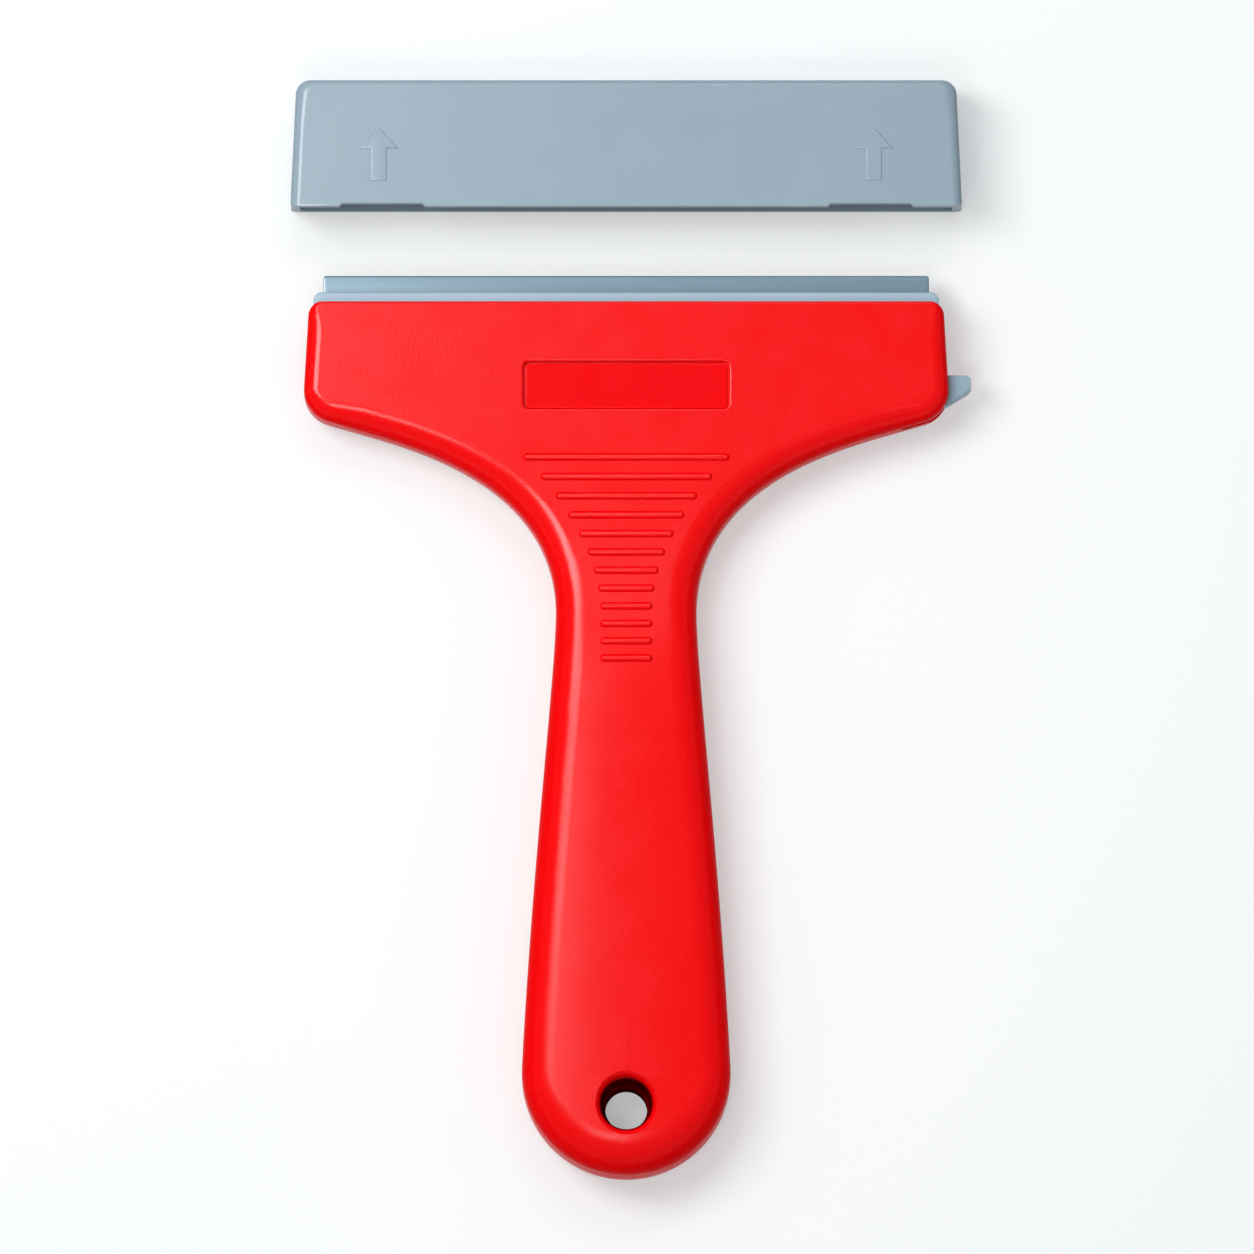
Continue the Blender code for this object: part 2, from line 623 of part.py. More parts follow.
def rib_mesh(name):
    """The grip ribs: half-sunk round bars with ball ends, each shorter than the one above it."""
    bm = bmesh.new()
    last_y = HEAD_TOP_Y - RIB_FIRST_FROM_TOP - RIB_FLARE_LENGTH
    for i in range(RIB_COUNT):
        y = HEAD_TOP_Y - RIB_FIRST_FROM_TOP - RIB_PITCH * i + RIB_PITCH_LOSS * i * i
        flare = max(0.0, (y - last_y) / RIB_FLARE_LENGTH) ** RIB_FLARE_POWER
        stretch = RIB_SHORT_HALF + (RIB_LONG_HALF - RIB_SHORT_HALF) * flare - RIB_RADIUS
        turn = Matrix.Rotation(0.5 * math.pi, 4, "Y")
        ball = bmesh.ops.create_uvsphere(bm, u_segments=12, v_segments=6, radius=RIB_RADIUS, matrix=turn)
        for vert in ball["verts"]:
            if abs(vert.co.x) > 1e-6:
                vert.co.x += math.copysign(stretch, vert.co.x)
            vert.co.y += y
            vert.co.z += front_z(y)
    return mesh_from(bm, name)


def label_outline(gap):
    """The outline of the label recess, or with a gap that of the inlay in it."""
    label_y = HEAD_TOP_Y - LABEL_FROM_TOP
    half = 0.5 * LABEL_HEIGHT - gap
    return rounded_rectangle(LABEL_WIDTH - 2.0 * gap, label_y - half, label_y + half, LABEL_CORNER - 0.5 * gap, 4)


def make_front_shell(rows):
    shell = make_shell_form("front_shell", 1, rows)
    base = FRONT_PARTING_Z
    boss = SCREW_RADIUS + SCREW_BOSS_WALL
    tube = HOLE_FRONT_RADIUS + HOLE_TUBE_WALL
    posts = [(x, y, base, front_z(y) - 0.5 * FACE_WALL, boss) for x, y in screw_sites().values()]
    posts.append((LEVER_X, LEVER_Y, LEVER_HIGH_Z + SEAT, HEAD_FRONT_Z - 0.5 * FACE_WALL, LEVER_HUB_RADIUS))
    posts.append((0.0, HOLE_Y, base, front_z(HOLE_Y) - 0.5 * FACE_WALL, tube))
    join(shell, add_tool("front_bosses", bars_mesh("front_bosses", posts)))
    join(shell, add_tool("grip_ribs", rib_mesh("grip_ribs")))
    cut_mouth(shell, "front")
    cut(shell, add_tool("front_lever_slot", lever_slot_mesh("front_lever_slot")))
    pilot = SCREW_RADIUS + RUNNING
    holes = [(x, y, base - OVERRUN, screw_tip_z() + SEAT, pilot) for x, y in screw_sites().values()]
    pin_bore = LEVER_PIN_RADIUS + RUNNING
    holes.append((LEVER_X, LEVER_Y, LEVER_HIGH_Z - OVERRUN, CAVITY_FRONT_Z + SEAT, pin_bore))
    holes.append((0.0, HOLE_Y, base - OVERRUN, HANDLE_THICKNESS + OVERRUN, HOLE_FRONT_RADIUS))
    cut(shell, add_tool("front_holes", bars_mesh("front_holes", holes)))
    cut(shell, add_tool("hole_lip", hole_lip_mesh("hole_lip", HOLE_FRONT_RADIUS, front_z(HOLE_Y), 1)))
    recess = plate_mesh("label_recess", label_outline(0.0), HEAD_FRONT_Z - LABEL_DEPTH, HEAD_FRONT_Z + OVERRUN)
    cut(shell, add_tool("label_recess", recess))
    return shell


def spring_radius():
    """The radius of the spring's coil, at the middle of its wire."""
    return SPRING_BOSS_RADIUS + SPRING_GAP + SPRING_WIRE_RADIUS


def make_rear_shell(rows):
    shell = make_shell_form("rear_shell", -1, rows)
    base = BACK_PARTING_Z
    boss = max(SCREW_RADIUS + SCREW_BOSS_WALL, SCREW_HEAD_RADIUS + RUNNING)
    tube = HOLE_FRONT_RADIUS + HOLE_TUBE_WALL
    posts = [(x, y, back_z(y) + 0.5 * FACE_WALL, base, boss) for x, y in screw_sites().values()]
    spring_top = LEVER_LOW_Z - SEAT
    posts.append((LEVER_X, LEVER_Y, HEAD_BACK_Z + 0.5 * FACE_WALL, spring_top, SPRING_BOSS_RADIUS))
    post_x = LEVER_X - SPRING_LEG + SPRING_POST_RADIUS
    post_y = LEVER_Y - spring_radius() + SPRING_WIRE_RADIUS + SEAT + SPRING_POST_RADIUS
    posts.append((post_x, post_y, HEAD_BACK_Z + 0.5 * FACE_WALL, spring_top, SPRING_POST_RADIUS))
    posts.append((0.0, HOLE_Y, back_z(HOLE_Y) + 0.5 * FACE_WALL, base, tube))
    join(shell, add_tool("rear_bosses", bars_mesh("rear_bosses", posts)))
    cut_mouth(shell, "rear")
    cut(shell, add_tool("rear_lever_slot", lever_slot_mesh("rear_lever_slot")))
    holes = [(LEVER_X, LEVER_Y, CAVITY_BACK_Z - SEAT, base + OVERRUN, LEVER_PIN_RADIUS + RUNNING)]
    holes.append((0.0, HOLE_Y, back_z(HOLE_Y) - OVERRUN, base + OVERRUN, HOLE_BACK_RADIUS))
    for x, y in screw_sites().values():
        holes.append((x, y, back_z(y), base + OVERRUN, SCREW_RADIUS + RUNNING))
    cut(shell, add_tool("rear_holes", bars_mesh("rear_holes", holes)))
    recesses = []
    for x, y in screw_sites().values():
        recesses.append((x, y, back_z(y) - OVERRUN, back_z(y) + SCREW_RECESS, SCREW_HEAD_RADIUS + RUNNING))
    cut(shell, add_tool("screw_recesses", bars_mesh("screw_recesses", recesses)))
    return shell


def make_label_plate():
    low_z = HEAD_FRONT_Z - LABEL_DEPTH + 0.5 * SEAT
    mesh = plate_mesh("label_plate", label_outline(SEAT), low_z, low_z + LABEL_PLATE_THICKNESS)
    return add_piece("label_plate", mesh, "label_red")


def make_screws():
    for name, (x, y) in screw_sites().items():
        seat_z = back_z(y) + SCREW_RECESS - RUNNING
        head_z = seat_z - SCREW_HEAD_HEIGHT
        bm = bmesh.new()
        cylinder(bm, x, y, head_z, seat_z, SCREW_HEAD_RADIUS)
        piece = add_piece(name, mesh_from(bm, name), "screw_steel")
        shank = bars_mesh(name + "_shank", [(x, y, seat_z - OVERLAP, screw_tip_z(), SCREW_RADIUS)])
        join(piece, add_tool(name + "_shank", shank))
        arms = []
        for half_x, half_y in ((CROSS_LENGTH, CROSS_WIDTH), (CROSS_WIDTH, CROSS_LENGTH)):
            low = (x - 0.5 * half_x, y - 0.5 * half_y, head_z - OVERRUN)
            high = (x + 0.5 * half_x, y + 0.5 * half_y, head_z + CROSS_DEPTH)
            arms.append(boxes_mesh(name + "_arm", [(low, high)]))
        for i, arm in enumerate(arms):
            cut(piece, add_tool(f"{name}_cross_{i}", arm))


def jaw_outline():
    """A jaw seen from the front: a wide lip over a narrower plate."""
    lip = 0.5 * LIP_WIDTH
    plate = 0.5 * JAW_WIDTH
    right = [
        (plate, JAW_LOW_Y, JAW_CORNER, 2),
        (plate, LIP_LOW_Y, 0.0, 0),
        (lip, LIP_LOW_Y, 0.0, 0),
        (lip, LIP_TOP_Y, LIP_CORNER, 4),
    ]
    left = [(-x, y, radius, steps) for x, y, radius, steps in reversed(right)]
    return rounded_outline(right + left)


def stud_places():
    return {"left": -STUD_SPACING, "middle": 0.0, "right": STUD_SPACING}


def make_jaws():
    front_plate = plate_mesh("front_jaw", jaw_outline(), FRONT_JAW_LOW, FRONT_JAW_HIGH)
    rear_plate = plate_mesh("rear_jaw", jaw_outline(), BACK_JAW_LOW, BACK_JAW_HIGH)
    front = add_piece("front_jaw", front_plate, "carrier_grey")
    rear = add_piece("rear_jaw", rear_plate, "carrier_grey")
    hole = STUD_RADIUS + RUNNING
    front_holes = []
    rear_holes = []
    for x in stud_places().values():
        front_holes.append((x, STUD_Y, FRONT_JAW_LOW - OVERRUN, FRONT_JAW_LOW + STUD_BITE, hole))
        rear_holes.append((x, STUD_Y, BACK_JAW_HIGH - STUD_BITE, BACK_JAW_HIGH + OVERRUN, hole))
    cut(front, add_tool("front_stud_holes", bars_mesh("front_stud_holes", front_holes)))
    cut(rear, add_tool("rear_stud_holes", bars_mesh("rear_stud_holes", rear_holes)))
    low_y = JAW_LOW_Y - TONGUE_LENGTH
    half = 0.5 * TONGUE_WIDTH
    tongue = rounded_outline(
        [
            (DRIVE_X + half, low_y, JAW_CORNER, 3),
            (DRIVE_X + half, JAW_LOW_Y + TONGUE_OVERLAP, 0.0, 0),
            (DRIVE_X - half, JAW_LOW_Y + TONGUE_OVERLAP, 0.0, 0),
            (DRIVE_X - half, low_y, JAW_CORNER, 3),
        ]
    )
    top = BACK_JAW_LOW + TONGUE_THICKNESS
    join(rear, add_tool("tongue", plate_mesh("tongue", tongue, BACK_JAW_LOW, top)))
    slot_half = DRIVE_PIN_RADIUS + RUNNING
    slot_width = 2.0 * (slot_half + DRIVE_PIN_TRAVEL_ROOM)
    slot = rounded_rectangle(slot_width, DRIVE_Y - slot_half, DRIVE_Y + slot_half, 0.98 * slot_half, 6)
    slot = [(x + DRIVE_X, y) for x, y in slot]
    cut(rear, add_tool("tongue_slot", plate_mesh("tongue_slot", slot, BACK_JAW_LOW - OVERRUN, top + OVERRUN)))


def make_blade():
    """The blade: a flat strip whose front edge is ground thin, with three holes."""
    half = 0.5 * BLADE_THICKNESS
    half_width = 0.5 * BLADE_WIDTH
    tip = 0.5 * BLADE_TIP_THICKNESS
    bm = bmesh.new()
    box(bm, (-half_width, BLADE_LOW_Y, MIDDLE_Z - half), (half_width, BLADE_TOP_Y, MIDDLE_Z + half))
    plane_y = BLADE_TOP_Y - BLADE_GRIND
    whole = bm.verts[:] + bm.edges[:] + bm.faces[:]
    bmesh.ops.bisect_plane(bm, geom=whole, plane_co=(0, plane_y, 0), plane_no=(0, 1, 0))
    for vert in bm.verts:
        if vert.co.y > plane_y + 0.5 * BLADE_GRIND:
            vert.co.z = MIDDLE_Z + math.copysign(tip, vert.co.z - MIDDLE_Z)
    blade = add_piece("blade", mesh_from(bm, "blade"), "blade_steel")
    hole = STUD_RADIUS + RUNNING
    holes = [(x, STUD_Y, MIDDLE_Z - OVERRUN, MIDDLE_Z + OVERRUN, hole) for x in stud_places().values()]
    cut(blade, add_tool("blade_holes", bars_mesh("blade_holes", holes)))


def make_studs():
    low = BACK_JAW_HIGH - STUD_BITE + SEAT
    high = FRONT_JAW_LOW + STUD_BITE - SEAT
    for side, x in stud_places().items():
        name = "blade_stud_" + side
        add_piece(name, bars_mesh(name, [(x, STUD_Y, low, high, STUD_RADIUS)]), "screw_steel")


def make_lever():
    """The release lever, whose origin is on its pivot: hub, inner arm, outer arm and thumb tab."""
    tab_x = 0.5 * HEAD_WIDTH + HEAD_SPREAD + TAB_REACH - LEVER_X
    root_x = 0.5 * JAW_WIDTH + 1.5 * SEAT - LEVER_X
    top_y = TAB_TOP_Y - LEVER_Y
    low_y = TAB_LOW_Y - LEVER_Y
    hub = LEVER_HUB_RADIUS
    half = 0.5 * LEVER_ARM_WIDTH
    nose_x = DRIVE_X - LEVER_X
    nose_y = DRIVE_Y - LEVER_Y
    arm_z = (LEVER_LOW_Z, LEVER_HIGH_Z)
    arm_top = JAW_LOW_Y - LEVER_Y - 1.6 * SEAT
    outer = rounded_outline(
        [
            (0.0, -LEVER_ARM_HEEL, 0.0, 0),
            (root_x, low_y + RUNNING, 0.0, 0),
            (root_x + TAB_ROOT_DEPTH, low_y + RUNNING, 0.0, 0),
            (root_x + TAB_ROOT_DEPTH, arm_top, 0.0, 0),
            (0.0, arm_top - RUNNING, 0.0, 0),
        ]
    )
    tab = rounded_outline(
        [
            (root_x, low_y, TAB_ROOT_CORNER, 2),
            (tab_x, low_y, TAB_SWEEP, 6),
            (tab_x, top_y, TAB_CORNER, 3),
            (root_x, top_y, TAB_ROOT_CORNER, 2),
        ]
    )
    bm = bmesh.new()
    cylinder(bm, 0.0, 0.0, *arm_z, hub)
    lever = add_piece("release_lever", mesh_from(bm, "release_lever"), "carrier_grey")
    lever.location = (LEVER_X, LEVER_Y, 0.0)
    along = Vector((nose_x, nose_y)).normalized()
    across = Vector((-along.y, along.x)) * half
    end_turn = math.atan2(nose_y, nose_x)
    inner = [(-across.x, -across.y), (across.x, across.y)]
    inner += arc((nose_x, nose_y), half, end_turn + 0.5 * math.pi, end_turn - 0.5 * math.pi, 8)
    pieces = {
        "lever_inner_arm": plate_mesh("lever_inner_arm", inner, *arm_z),
        "lever_outer_arm": plate_mesh("lever_outer_arm", outer, *arm_z),
        "lever_tab": plate_mesh("lever_tab", tab, LEVER_HIGH_Z - TAB_THICKNESS, LEVER_HIGH_Z),
    }
    for name, mesh in pieces.items():
        tool = add_tool(name, mesh)
        tool.location = lever.location
        join(lever, tool)
    bores = [
        (LEVER_X, LEVER_Y, LEVER_LOW_Z - OVERRUN, LEVER_HIGH_Z + OVERRUN, LEVER_PIN_RADIUS + RUNNING),
        (DRIVE_X, DRIVE_Y, LEVER_LOW_Z - OVERRUN, LEVER_HIGH_Z - DRIVE_PIN_COVER, DRIVE_PIN_RADIUS + RUNNING),
    ]
    cut(lever, add_tool("lever_bores", bars_mesh("lever_bores", bores)))


def make_pins():
    low = CAVITY_BACK_Z
    high = CAVITY_FRONT_Z
    add_piece(
        "lever_pin", bars_mesh("lever_pin", [(LEVER_X, LEVER_Y, low, high, LEVER_PIN_RADIUS)]), "screw_steel"
    )
    low = BACK_JAW_LOW + SEAT
    high = LEVER_HIGH_Z - DRIVE_PIN_COVER - SEAT
    add_piece(
        "drive_pin", bars_mesh("drive_pin", [(DRIVE_X, DRIVE_Y, low, high, DRIVE_PIN_RADIUS)]), "screw_steel"
    )


def make_spring():
    """The torsion spring: a coil round the rear boss, one leg under a post and one behind the outer arm."""
    radius = spring_radius()
    low = CAVITY_BACK_Z + SEAT + SPRING_WIRE_RADIUS
    steps = 10 * SPRING_TURNS
    whole_turn = 2.0 * math.pi * SPRING_TURNS + SPRING_ARM_TURN
    points = [(LEVER_X - SPRING_LEG, LEVER_Y - radius, low)]
    for i in range(steps + 1):
        turn = -0.5 * math.pi + whole_turn * i / steps
        height = low + SPRING_PITCH * SPRING_TURNS * i / steps
        points.append((LEVER_X + radius * math.cos(turn), LEVER_Y + radius * math.sin(turn), height))
    end = points[-1]
    tip_x = end[0] + SPRING_ARM_LEG * math.cos(SPRING_ARM_TURN)
    tip_y = end[1] + SPRING_ARM_LEG * math.sin(SPRING_ARM_TURN)
    points.append((tip_x, tip_y, end[2]))
    points.append((tip_x, tip_y, 0.5 * (LEVER_LOW_Z + LEVER_HIGH_Z)))
    curve = bpy.data.curves.new("lever_spring", "CURVE")
    curve.dimensions = "3D"
    curve.bevel_depth = SPRING_WIRE_RADIUS
    curve.bevel_resolution = 1
    curve.use_fill_caps = True
    spline = curve.splines.new("POLY")
    spline.points.add(len(points) - 1)
    for point, spot in zip(spline.points, points):
        point.co = (*spot, 1.0)
    holder = bpy.data.objects.new("lever_spring_curve", curve)
    cutters.objects.link(holder)
    graph = bpy.context.evaluated_depsgraph_get()
    mesh = bpy.data.meshes.new_from_object(holder.evaluated_get(graph))
    bpy.data.objects.remove(holder, do_unlink=True)
    bm = bmesh.new()
    bm.from_mesh(mesh)
    bpy.data.meshes.remove(mesh)
    bmesh.ops.remove_doubles(bm, verts=bm.verts, dist=1e-7)
    add_piece("lever_spring", mesh_from(bm, "lever_spring"), "screw_steel")


def guard_half_width(y):
    """Half the guard's outer width, which narrows a little towards its closed end."""
    return GUARD_MOUTH_HALF - GUARD_TAPER * (y - GUARD_MOUTH_Y) / GUARD_HEIGHT


def arrow_outline(centre_x, foot_y):
    """An arrow pointing away from the mouth of the guard."""
    tip_y = foot_y + ARROW_HEIGHT
    neck_y = tip_y - ARROW_HEAD
    right = [(0.5 * ARROW_SHAFT, foot_y), (0.5 * ARROW_SHAFT, neck_y), (0.5 * ARROW_WIDTH, neck_y)]
    left = [(-x, y) for x, y in reversed(right)]
    return [(centre_x + x, y) for x, y in right + [(0.0, tip_y)] + left]


def make_guard():
    """The blade guard: a box open towards the blade, with rounded edges, notches, arrows and inner stops."""
    top = guard_half_width(GUARD_TOP_Y)
    mouth = guard_half_width(GUARD_MOUTH_Y)
    outline = rounded_outline(
        [
            (mouth, GUARD_MOUTH_Y, 0.0, 0),
            (top, GUARD_TOP_Y, GUARD_CORNER, 6),
            (-top, GUARD_TOP_Y, GUARD_CORNER, 6),
            (-mouth, GUARD_MOUTH_Y, 0.0, 0),
        ]
    )
    mesh = plate_mesh("blade_guard", outline, 0.0, GUARD_DEPTH)
    bm = bmesh.new()
    bm.from_mesh(mesh)
    weights = bm.edges.layers.float.new("bevel_weight_edge")
    for edge in bm.edges:
        flat = abs(edge.verts[0].co.z - edge.verts[1].co.z) < 1e-7
        at_mouth = all(vert.co.y < GUARD_MOUTH_Y + 1e-6 for vert in edge.verts)
        outer = len(edge.link_faces) == 2 and edge.calc_face_angle() > 0.5
        edge[weights] = 1.0 if flat and outer and not at_mouth else 0.0
    bm.to_mesh(mesh)
    bm.free()
    guard = add_piece("blade_guard", mesh, "guard_grey")
    rounding = guard.modifiers.new("edge_round", "BEVEL")
    rounding.limit_method = "WEIGHT"
    rounding.width = GUARD_ROUND
    rounding.segments = 4
    low_z = GUARD_WALL
    high_z = GUARD_DEPTH - GUARD_WALL
    inner_top = GUARD_TOP_Y - GUARD_SIDE_WALL
    low_y = GUARD_MOUTH_Y - OVERRUN
    top = guard_half_width(inner_top) - GUARD_SIDE_WALL
    mouth = guard_half_width(low_y) - GUARD_SIDE_WALL
    inner = rounded_outline(
        [
            (mouth, low_y, 0.0, 0),
            (top, inner_top, GUARD_INNER_CORNER, 3),
            (-top, inner_top, GUARD_INNER_CORNER, 3),
            (-mouth, low_y, 0.0, 0),
        ]
    )
    cut(guard, add_tool("guard_hollow", plate_mesh("guard_hollow", inner, low_z, high_z)))
    stop_y = HEAD_TOP_Y + GUARD_TRAVEL + SEAT
    stops = []
    for x in (-GUARD_STOP_X, GUARD_STOP_X):
        for stop_low, stop_high in (
            (low_z - OVERLAP, BACK_JAW_LOW - 2.0 * SEAT),
            (FRONT_JAW_HIGH + 2.0 * SEAT, high_z + OVERLAP),
        ):
            low = (x - 0.5 * GUARD_STOP_WIDTH, stop_y, stop_low)
            stops.append((low, (x + 0.5 * GUARD_STOP_WIDTH, inner_top + OVERLAP, stop_high)))
    join(guard, add_tool("guard_stops", boxes_mesh("guard_stops", stops)))
    short = [((-HEAD_WIDTH, low_y, -OVERRUN), (HEAD_WIDTH, GUARD_MOUTH_Y + GUARD_BACK_SHORTER, MIDDLE_Z))]
    cut(guard, add_tool("guard_back_edge", boxes_mesh("guard_back_edge", short)))
    for side in (-1.0, 1.0):
        label = "left" if side < 0 else "right"
        x = side * NOTCH_X
        half = 0.5 * NOTCH_WIDTH
        notch = [
            (x - half - NOTCH_DEPTH, GUARD_MOUTH_Y - NOTCH_DEPTH),
            (x + half + NOTCH_DEPTH, GUARD_MOUTH_Y - NOTCH_DEPTH),
            (x + half - NOTCH_DEPTH, GUARD_MOUTH_Y + NOTCH_DEPTH),
            (x - half + NOTCH_DEPTH, GUARD_MOUTH_Y + NOTCH_DEPTH),
        ]
        notch_tool = plate_mesh("notch_" + label, notch, high_z - OVERRUN, GUARD_DEPTH + OVERRUN)
        cut(guard, add_tool("notch_" + label, notch_tool))
        arrow = arrow_outline(x, GUARD_MOUTH_Y + ARROW_FROM_MOUTH)
        mesh = plate_mesh("arrow_" + label, arrow, GUARD_DEPTH - OVERLAP, GUARD_DEPTH + ARROW_RELIEF)
        join(guard, add_tool("arrow_" + label, mesh))


clear_scene()
parts = new_collection("glass_scraper")
cutters = new_collection("cutters")
body_rows = with_normals(half_outline())
make_front_shell(body_rows)
make_rear_shell(body_rows)
make_label_plate()
make_screws()
make_jaws()
make_blade()
make_studs()
make_lever()
make_pins()
make_spring()
make_guard()
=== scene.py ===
"""Glass scraper as photographed, on its back on a white table, with its blade guard taken off.

Every size is in millimetres. A finished mesh is scaled to metres in place, so its object stays at the
origin. X runs along the blade, +Y points from the handle to the blade, and Z = 0 is the table.
"""

import math

import bmesh
import bpy
from mathutils import Matrix, Vector


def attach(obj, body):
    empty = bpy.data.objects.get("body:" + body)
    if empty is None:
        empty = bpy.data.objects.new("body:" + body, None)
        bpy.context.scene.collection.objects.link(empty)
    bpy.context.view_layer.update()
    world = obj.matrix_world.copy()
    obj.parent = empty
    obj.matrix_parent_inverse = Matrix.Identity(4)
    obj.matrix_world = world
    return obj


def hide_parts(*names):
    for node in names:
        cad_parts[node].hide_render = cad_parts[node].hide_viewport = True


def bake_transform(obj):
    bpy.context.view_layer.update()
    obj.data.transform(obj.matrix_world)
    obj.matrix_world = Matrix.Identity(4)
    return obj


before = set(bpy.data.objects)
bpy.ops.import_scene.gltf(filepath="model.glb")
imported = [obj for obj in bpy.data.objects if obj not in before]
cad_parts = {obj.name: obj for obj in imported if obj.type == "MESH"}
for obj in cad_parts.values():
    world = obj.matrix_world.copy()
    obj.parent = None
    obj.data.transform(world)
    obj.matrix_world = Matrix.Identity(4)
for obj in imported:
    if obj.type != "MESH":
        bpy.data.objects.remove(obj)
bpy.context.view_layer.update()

MM = 0.001
SEAT = 0.3
RUNNING = 0.2
OVERRUN = 1.0
OVERLAP = 0.5
MERGE = 1e-3
TINY = 1e-4

# Heights of the flat scraper head and of the thicker handle
HEAD_BACK = 2.0
HEAD_FRONT = 13.0
HANDLE_FRONT = 16.5
MIDDLE = 7.5
FRONT_PARTING = 7.65
BACK_PARTING = 7.35
SEAM_ROUND = 0.25

# Where a face starts to change on the way down, and over what length
FRONT_RISE = (25.28, 40.0)
CROWN_RISE = (14.0, 36.0)
BACK_DROP = (22.0, 16.0)
HANDLE_CROWN = 110.0

# Outline of the body
HEAD_TOP = 54.4
BODY_END = -90.2
HEAD_HALF = 52.35
HEAD_SPREAD = 1.1
HEAD_SIDE = 18.5
TOP_CORNER = 2.3
LOWER_CORNER = 5.5
SLANT = math.radians(16.0)
SLANT_LENGTH = 9.8
SLANT_PULL = 10.0
NECK_HALF = 11.6
NECK = 3.2
NECK_PULL_UP = 21.0
NECK_PULL_DOWN = 10.0
HANDLE_PULL = 36.0
END_RADIUS = 17.2
END_TAPER = math.radians(3.0)

# How far the rounding of each stretch of the outline reaches inwards over the face
ROUND_TOP = 0.45
ROUND_CORNER = 1.9
ROUND_SIDE = 2.4
ROUND_LOWER = 3.3
ROUND_SLANT = 4.1
ROUND_HANDLE = 4.6
ROUND_END = 6.5
ROUND_BACK = 2.4
ROUND_INSIDE_BACK = 0.9
LEAST_ROUND = 0.3
LEAST_STEP = 0.02
LEAST_SIDE = 0.4

# How far that rounding may drop below the face, and how many steps it takes
FRONT_DROP = (6.0, 9)
BACK_RISE = (4.0, 7)
INSIDE_DROP = (2.0, 3)

# Steps of the plainest outline, rows down the head's side, and columns over the face
CORNER_STEPS = 6
NECK_STEPS = 14
HANDLE_STEPS = 12
SIDE_ROWS = (0.06, 0.12, 0.2, 0.3, 0.65)
SIDE_ROUND_FROM = 0.2
FACE_COLUMNS = (0.94, 0.7, 0.35, 0.0)

# Walls and posts inside the shells
SIDE_WALL = 1.5
FACE_WALL = 2.3
HEAD_WEB = 2.0
POST_SINK = 1.0
SCREW_POST_WALL = 1.3
HOLE_TUBE_WALL = 1.6
SPRING_POST = (28.8, 34.8)
SPRING_POST_RADIUS = 0.8
SPRING_BOSS = 2.0

# Carrier and blade
BLADE_HALF = 50.0
BLADE_TOP = 59.2
BLADE_LOW = 41.2
BLADE_THICKNESS = 0.5
BLADE_LAP = 58.15
BLADE_GRIND = 0.26
BLADE_LAP_LOSS = 0.05
BLADE_EDGE_HALF = 0.02
BLADE_ENDS = ((0.0, 0.35), (0.12, 0.12), (0.35, 0.0))
BLADE_END_THINNER = 0.35
JAW_HALF = 50.5
JAW_LOW = 39.2
LIP_HALF = 51.6
LIP_TOP = 56.2
LIP_LOW = 53.5
LIP_CORNER = 1.3
LIP_ROUND = 0.45
FRONT_JAW = (8.05, 10.35)
BACK_JAW = (4.65, 6.95)
STUD_RADIUS = 1.3
STUD_BITE = 1.6
STUD_Y = 47.35
STUD_X = (-30.0, 0.0, 30.0)
TONGUE_HALF = 3.4
TONGUE_END = 30.6
TONGUE_OVERLAP = 1.5
TONGUE_THICKNESS = 2.1
TONGUE_SLOT_HALF = (1.6, 1.2)
TONGUE_SLOT_CORNER = 1.17

# Lever, its pins and its slot in the shells
LEVER = (36.0, 36.0)
LEVER_ARM = 16.0
LEVER_ARM_HALF = 1.8
LEVER_HEEL = 1.2
LEVER_HUB = 2.7
LEVER_HALF_SWING = math.radians(8.0)
LEVER_FLAT = (7.0, 9.2)
LEVER_TOP_EDGE = (38.52, 38.72)
DRIVE = (
    LEVER[0] - LEVER_ARM * math.cos(LEVER_HALF_SWING),
    LEVER[1] - LEVER_ARM * math.sin(LEVER_HALF_SWING),
)
DRIVE_PIN = 1.0
DRIVE_PIN_COVER = 0.5
LEVER_PIN = 1.25
PIN_ROUND = 0.15
TAB_LOW_Z = 5.8
TAB_TIP = 56.95
TAB_TOP = 42.5
TAB_LOW = 37.4
TAB_ROOT = JAW_HALF + 0.45
TAB_ROOT_DEPTH = 2.0
TAB_CORNERS = (
    ((TAB_ROOT, TAB_LOW), 0.4, 3),
    ((52.9, TAB_LOW), 1.6, 6),
    ((TAB_TIP, 39.9), 1.5, 8),
    ((TAB_TIP, TAB_TOP), 1.0, 8),
    ((TAB_ROOT, TAB_TOP), 0.4, 3),
)
TAB_FACET_SPOT = (53.7, 38.4, LEVER_FLAT[1])
TAB_FACET = (0.32, -0.5, 0.8)
TAB_ROUND = 0.3
SLOT_ROOM = 0.4
SLOT_START = 5.2
SLOT_ARM_LOW = (34.1, 33.1)
SLOT_TURN = 50.8
SLOT_TAB_LOW = 32.0
SLOT_LOW_OUTSIDE = 28.0

# Torsion spring under the lever
SPRING_RADIUS = 2.55
SPRING_LOW = 4.85
SPRING_HEIGHT = 1.6
SPRING_TURNS = 2.0
SPRING_STEPS = 64
SPRING_WIRE = 0.25
SPRING_LEG = 8.0
SPRING_ARM_LEG = 6.5
SPRING_ARM_TURN = math.radians(18.0)
SPRING_HOOK_TOP = 8.1

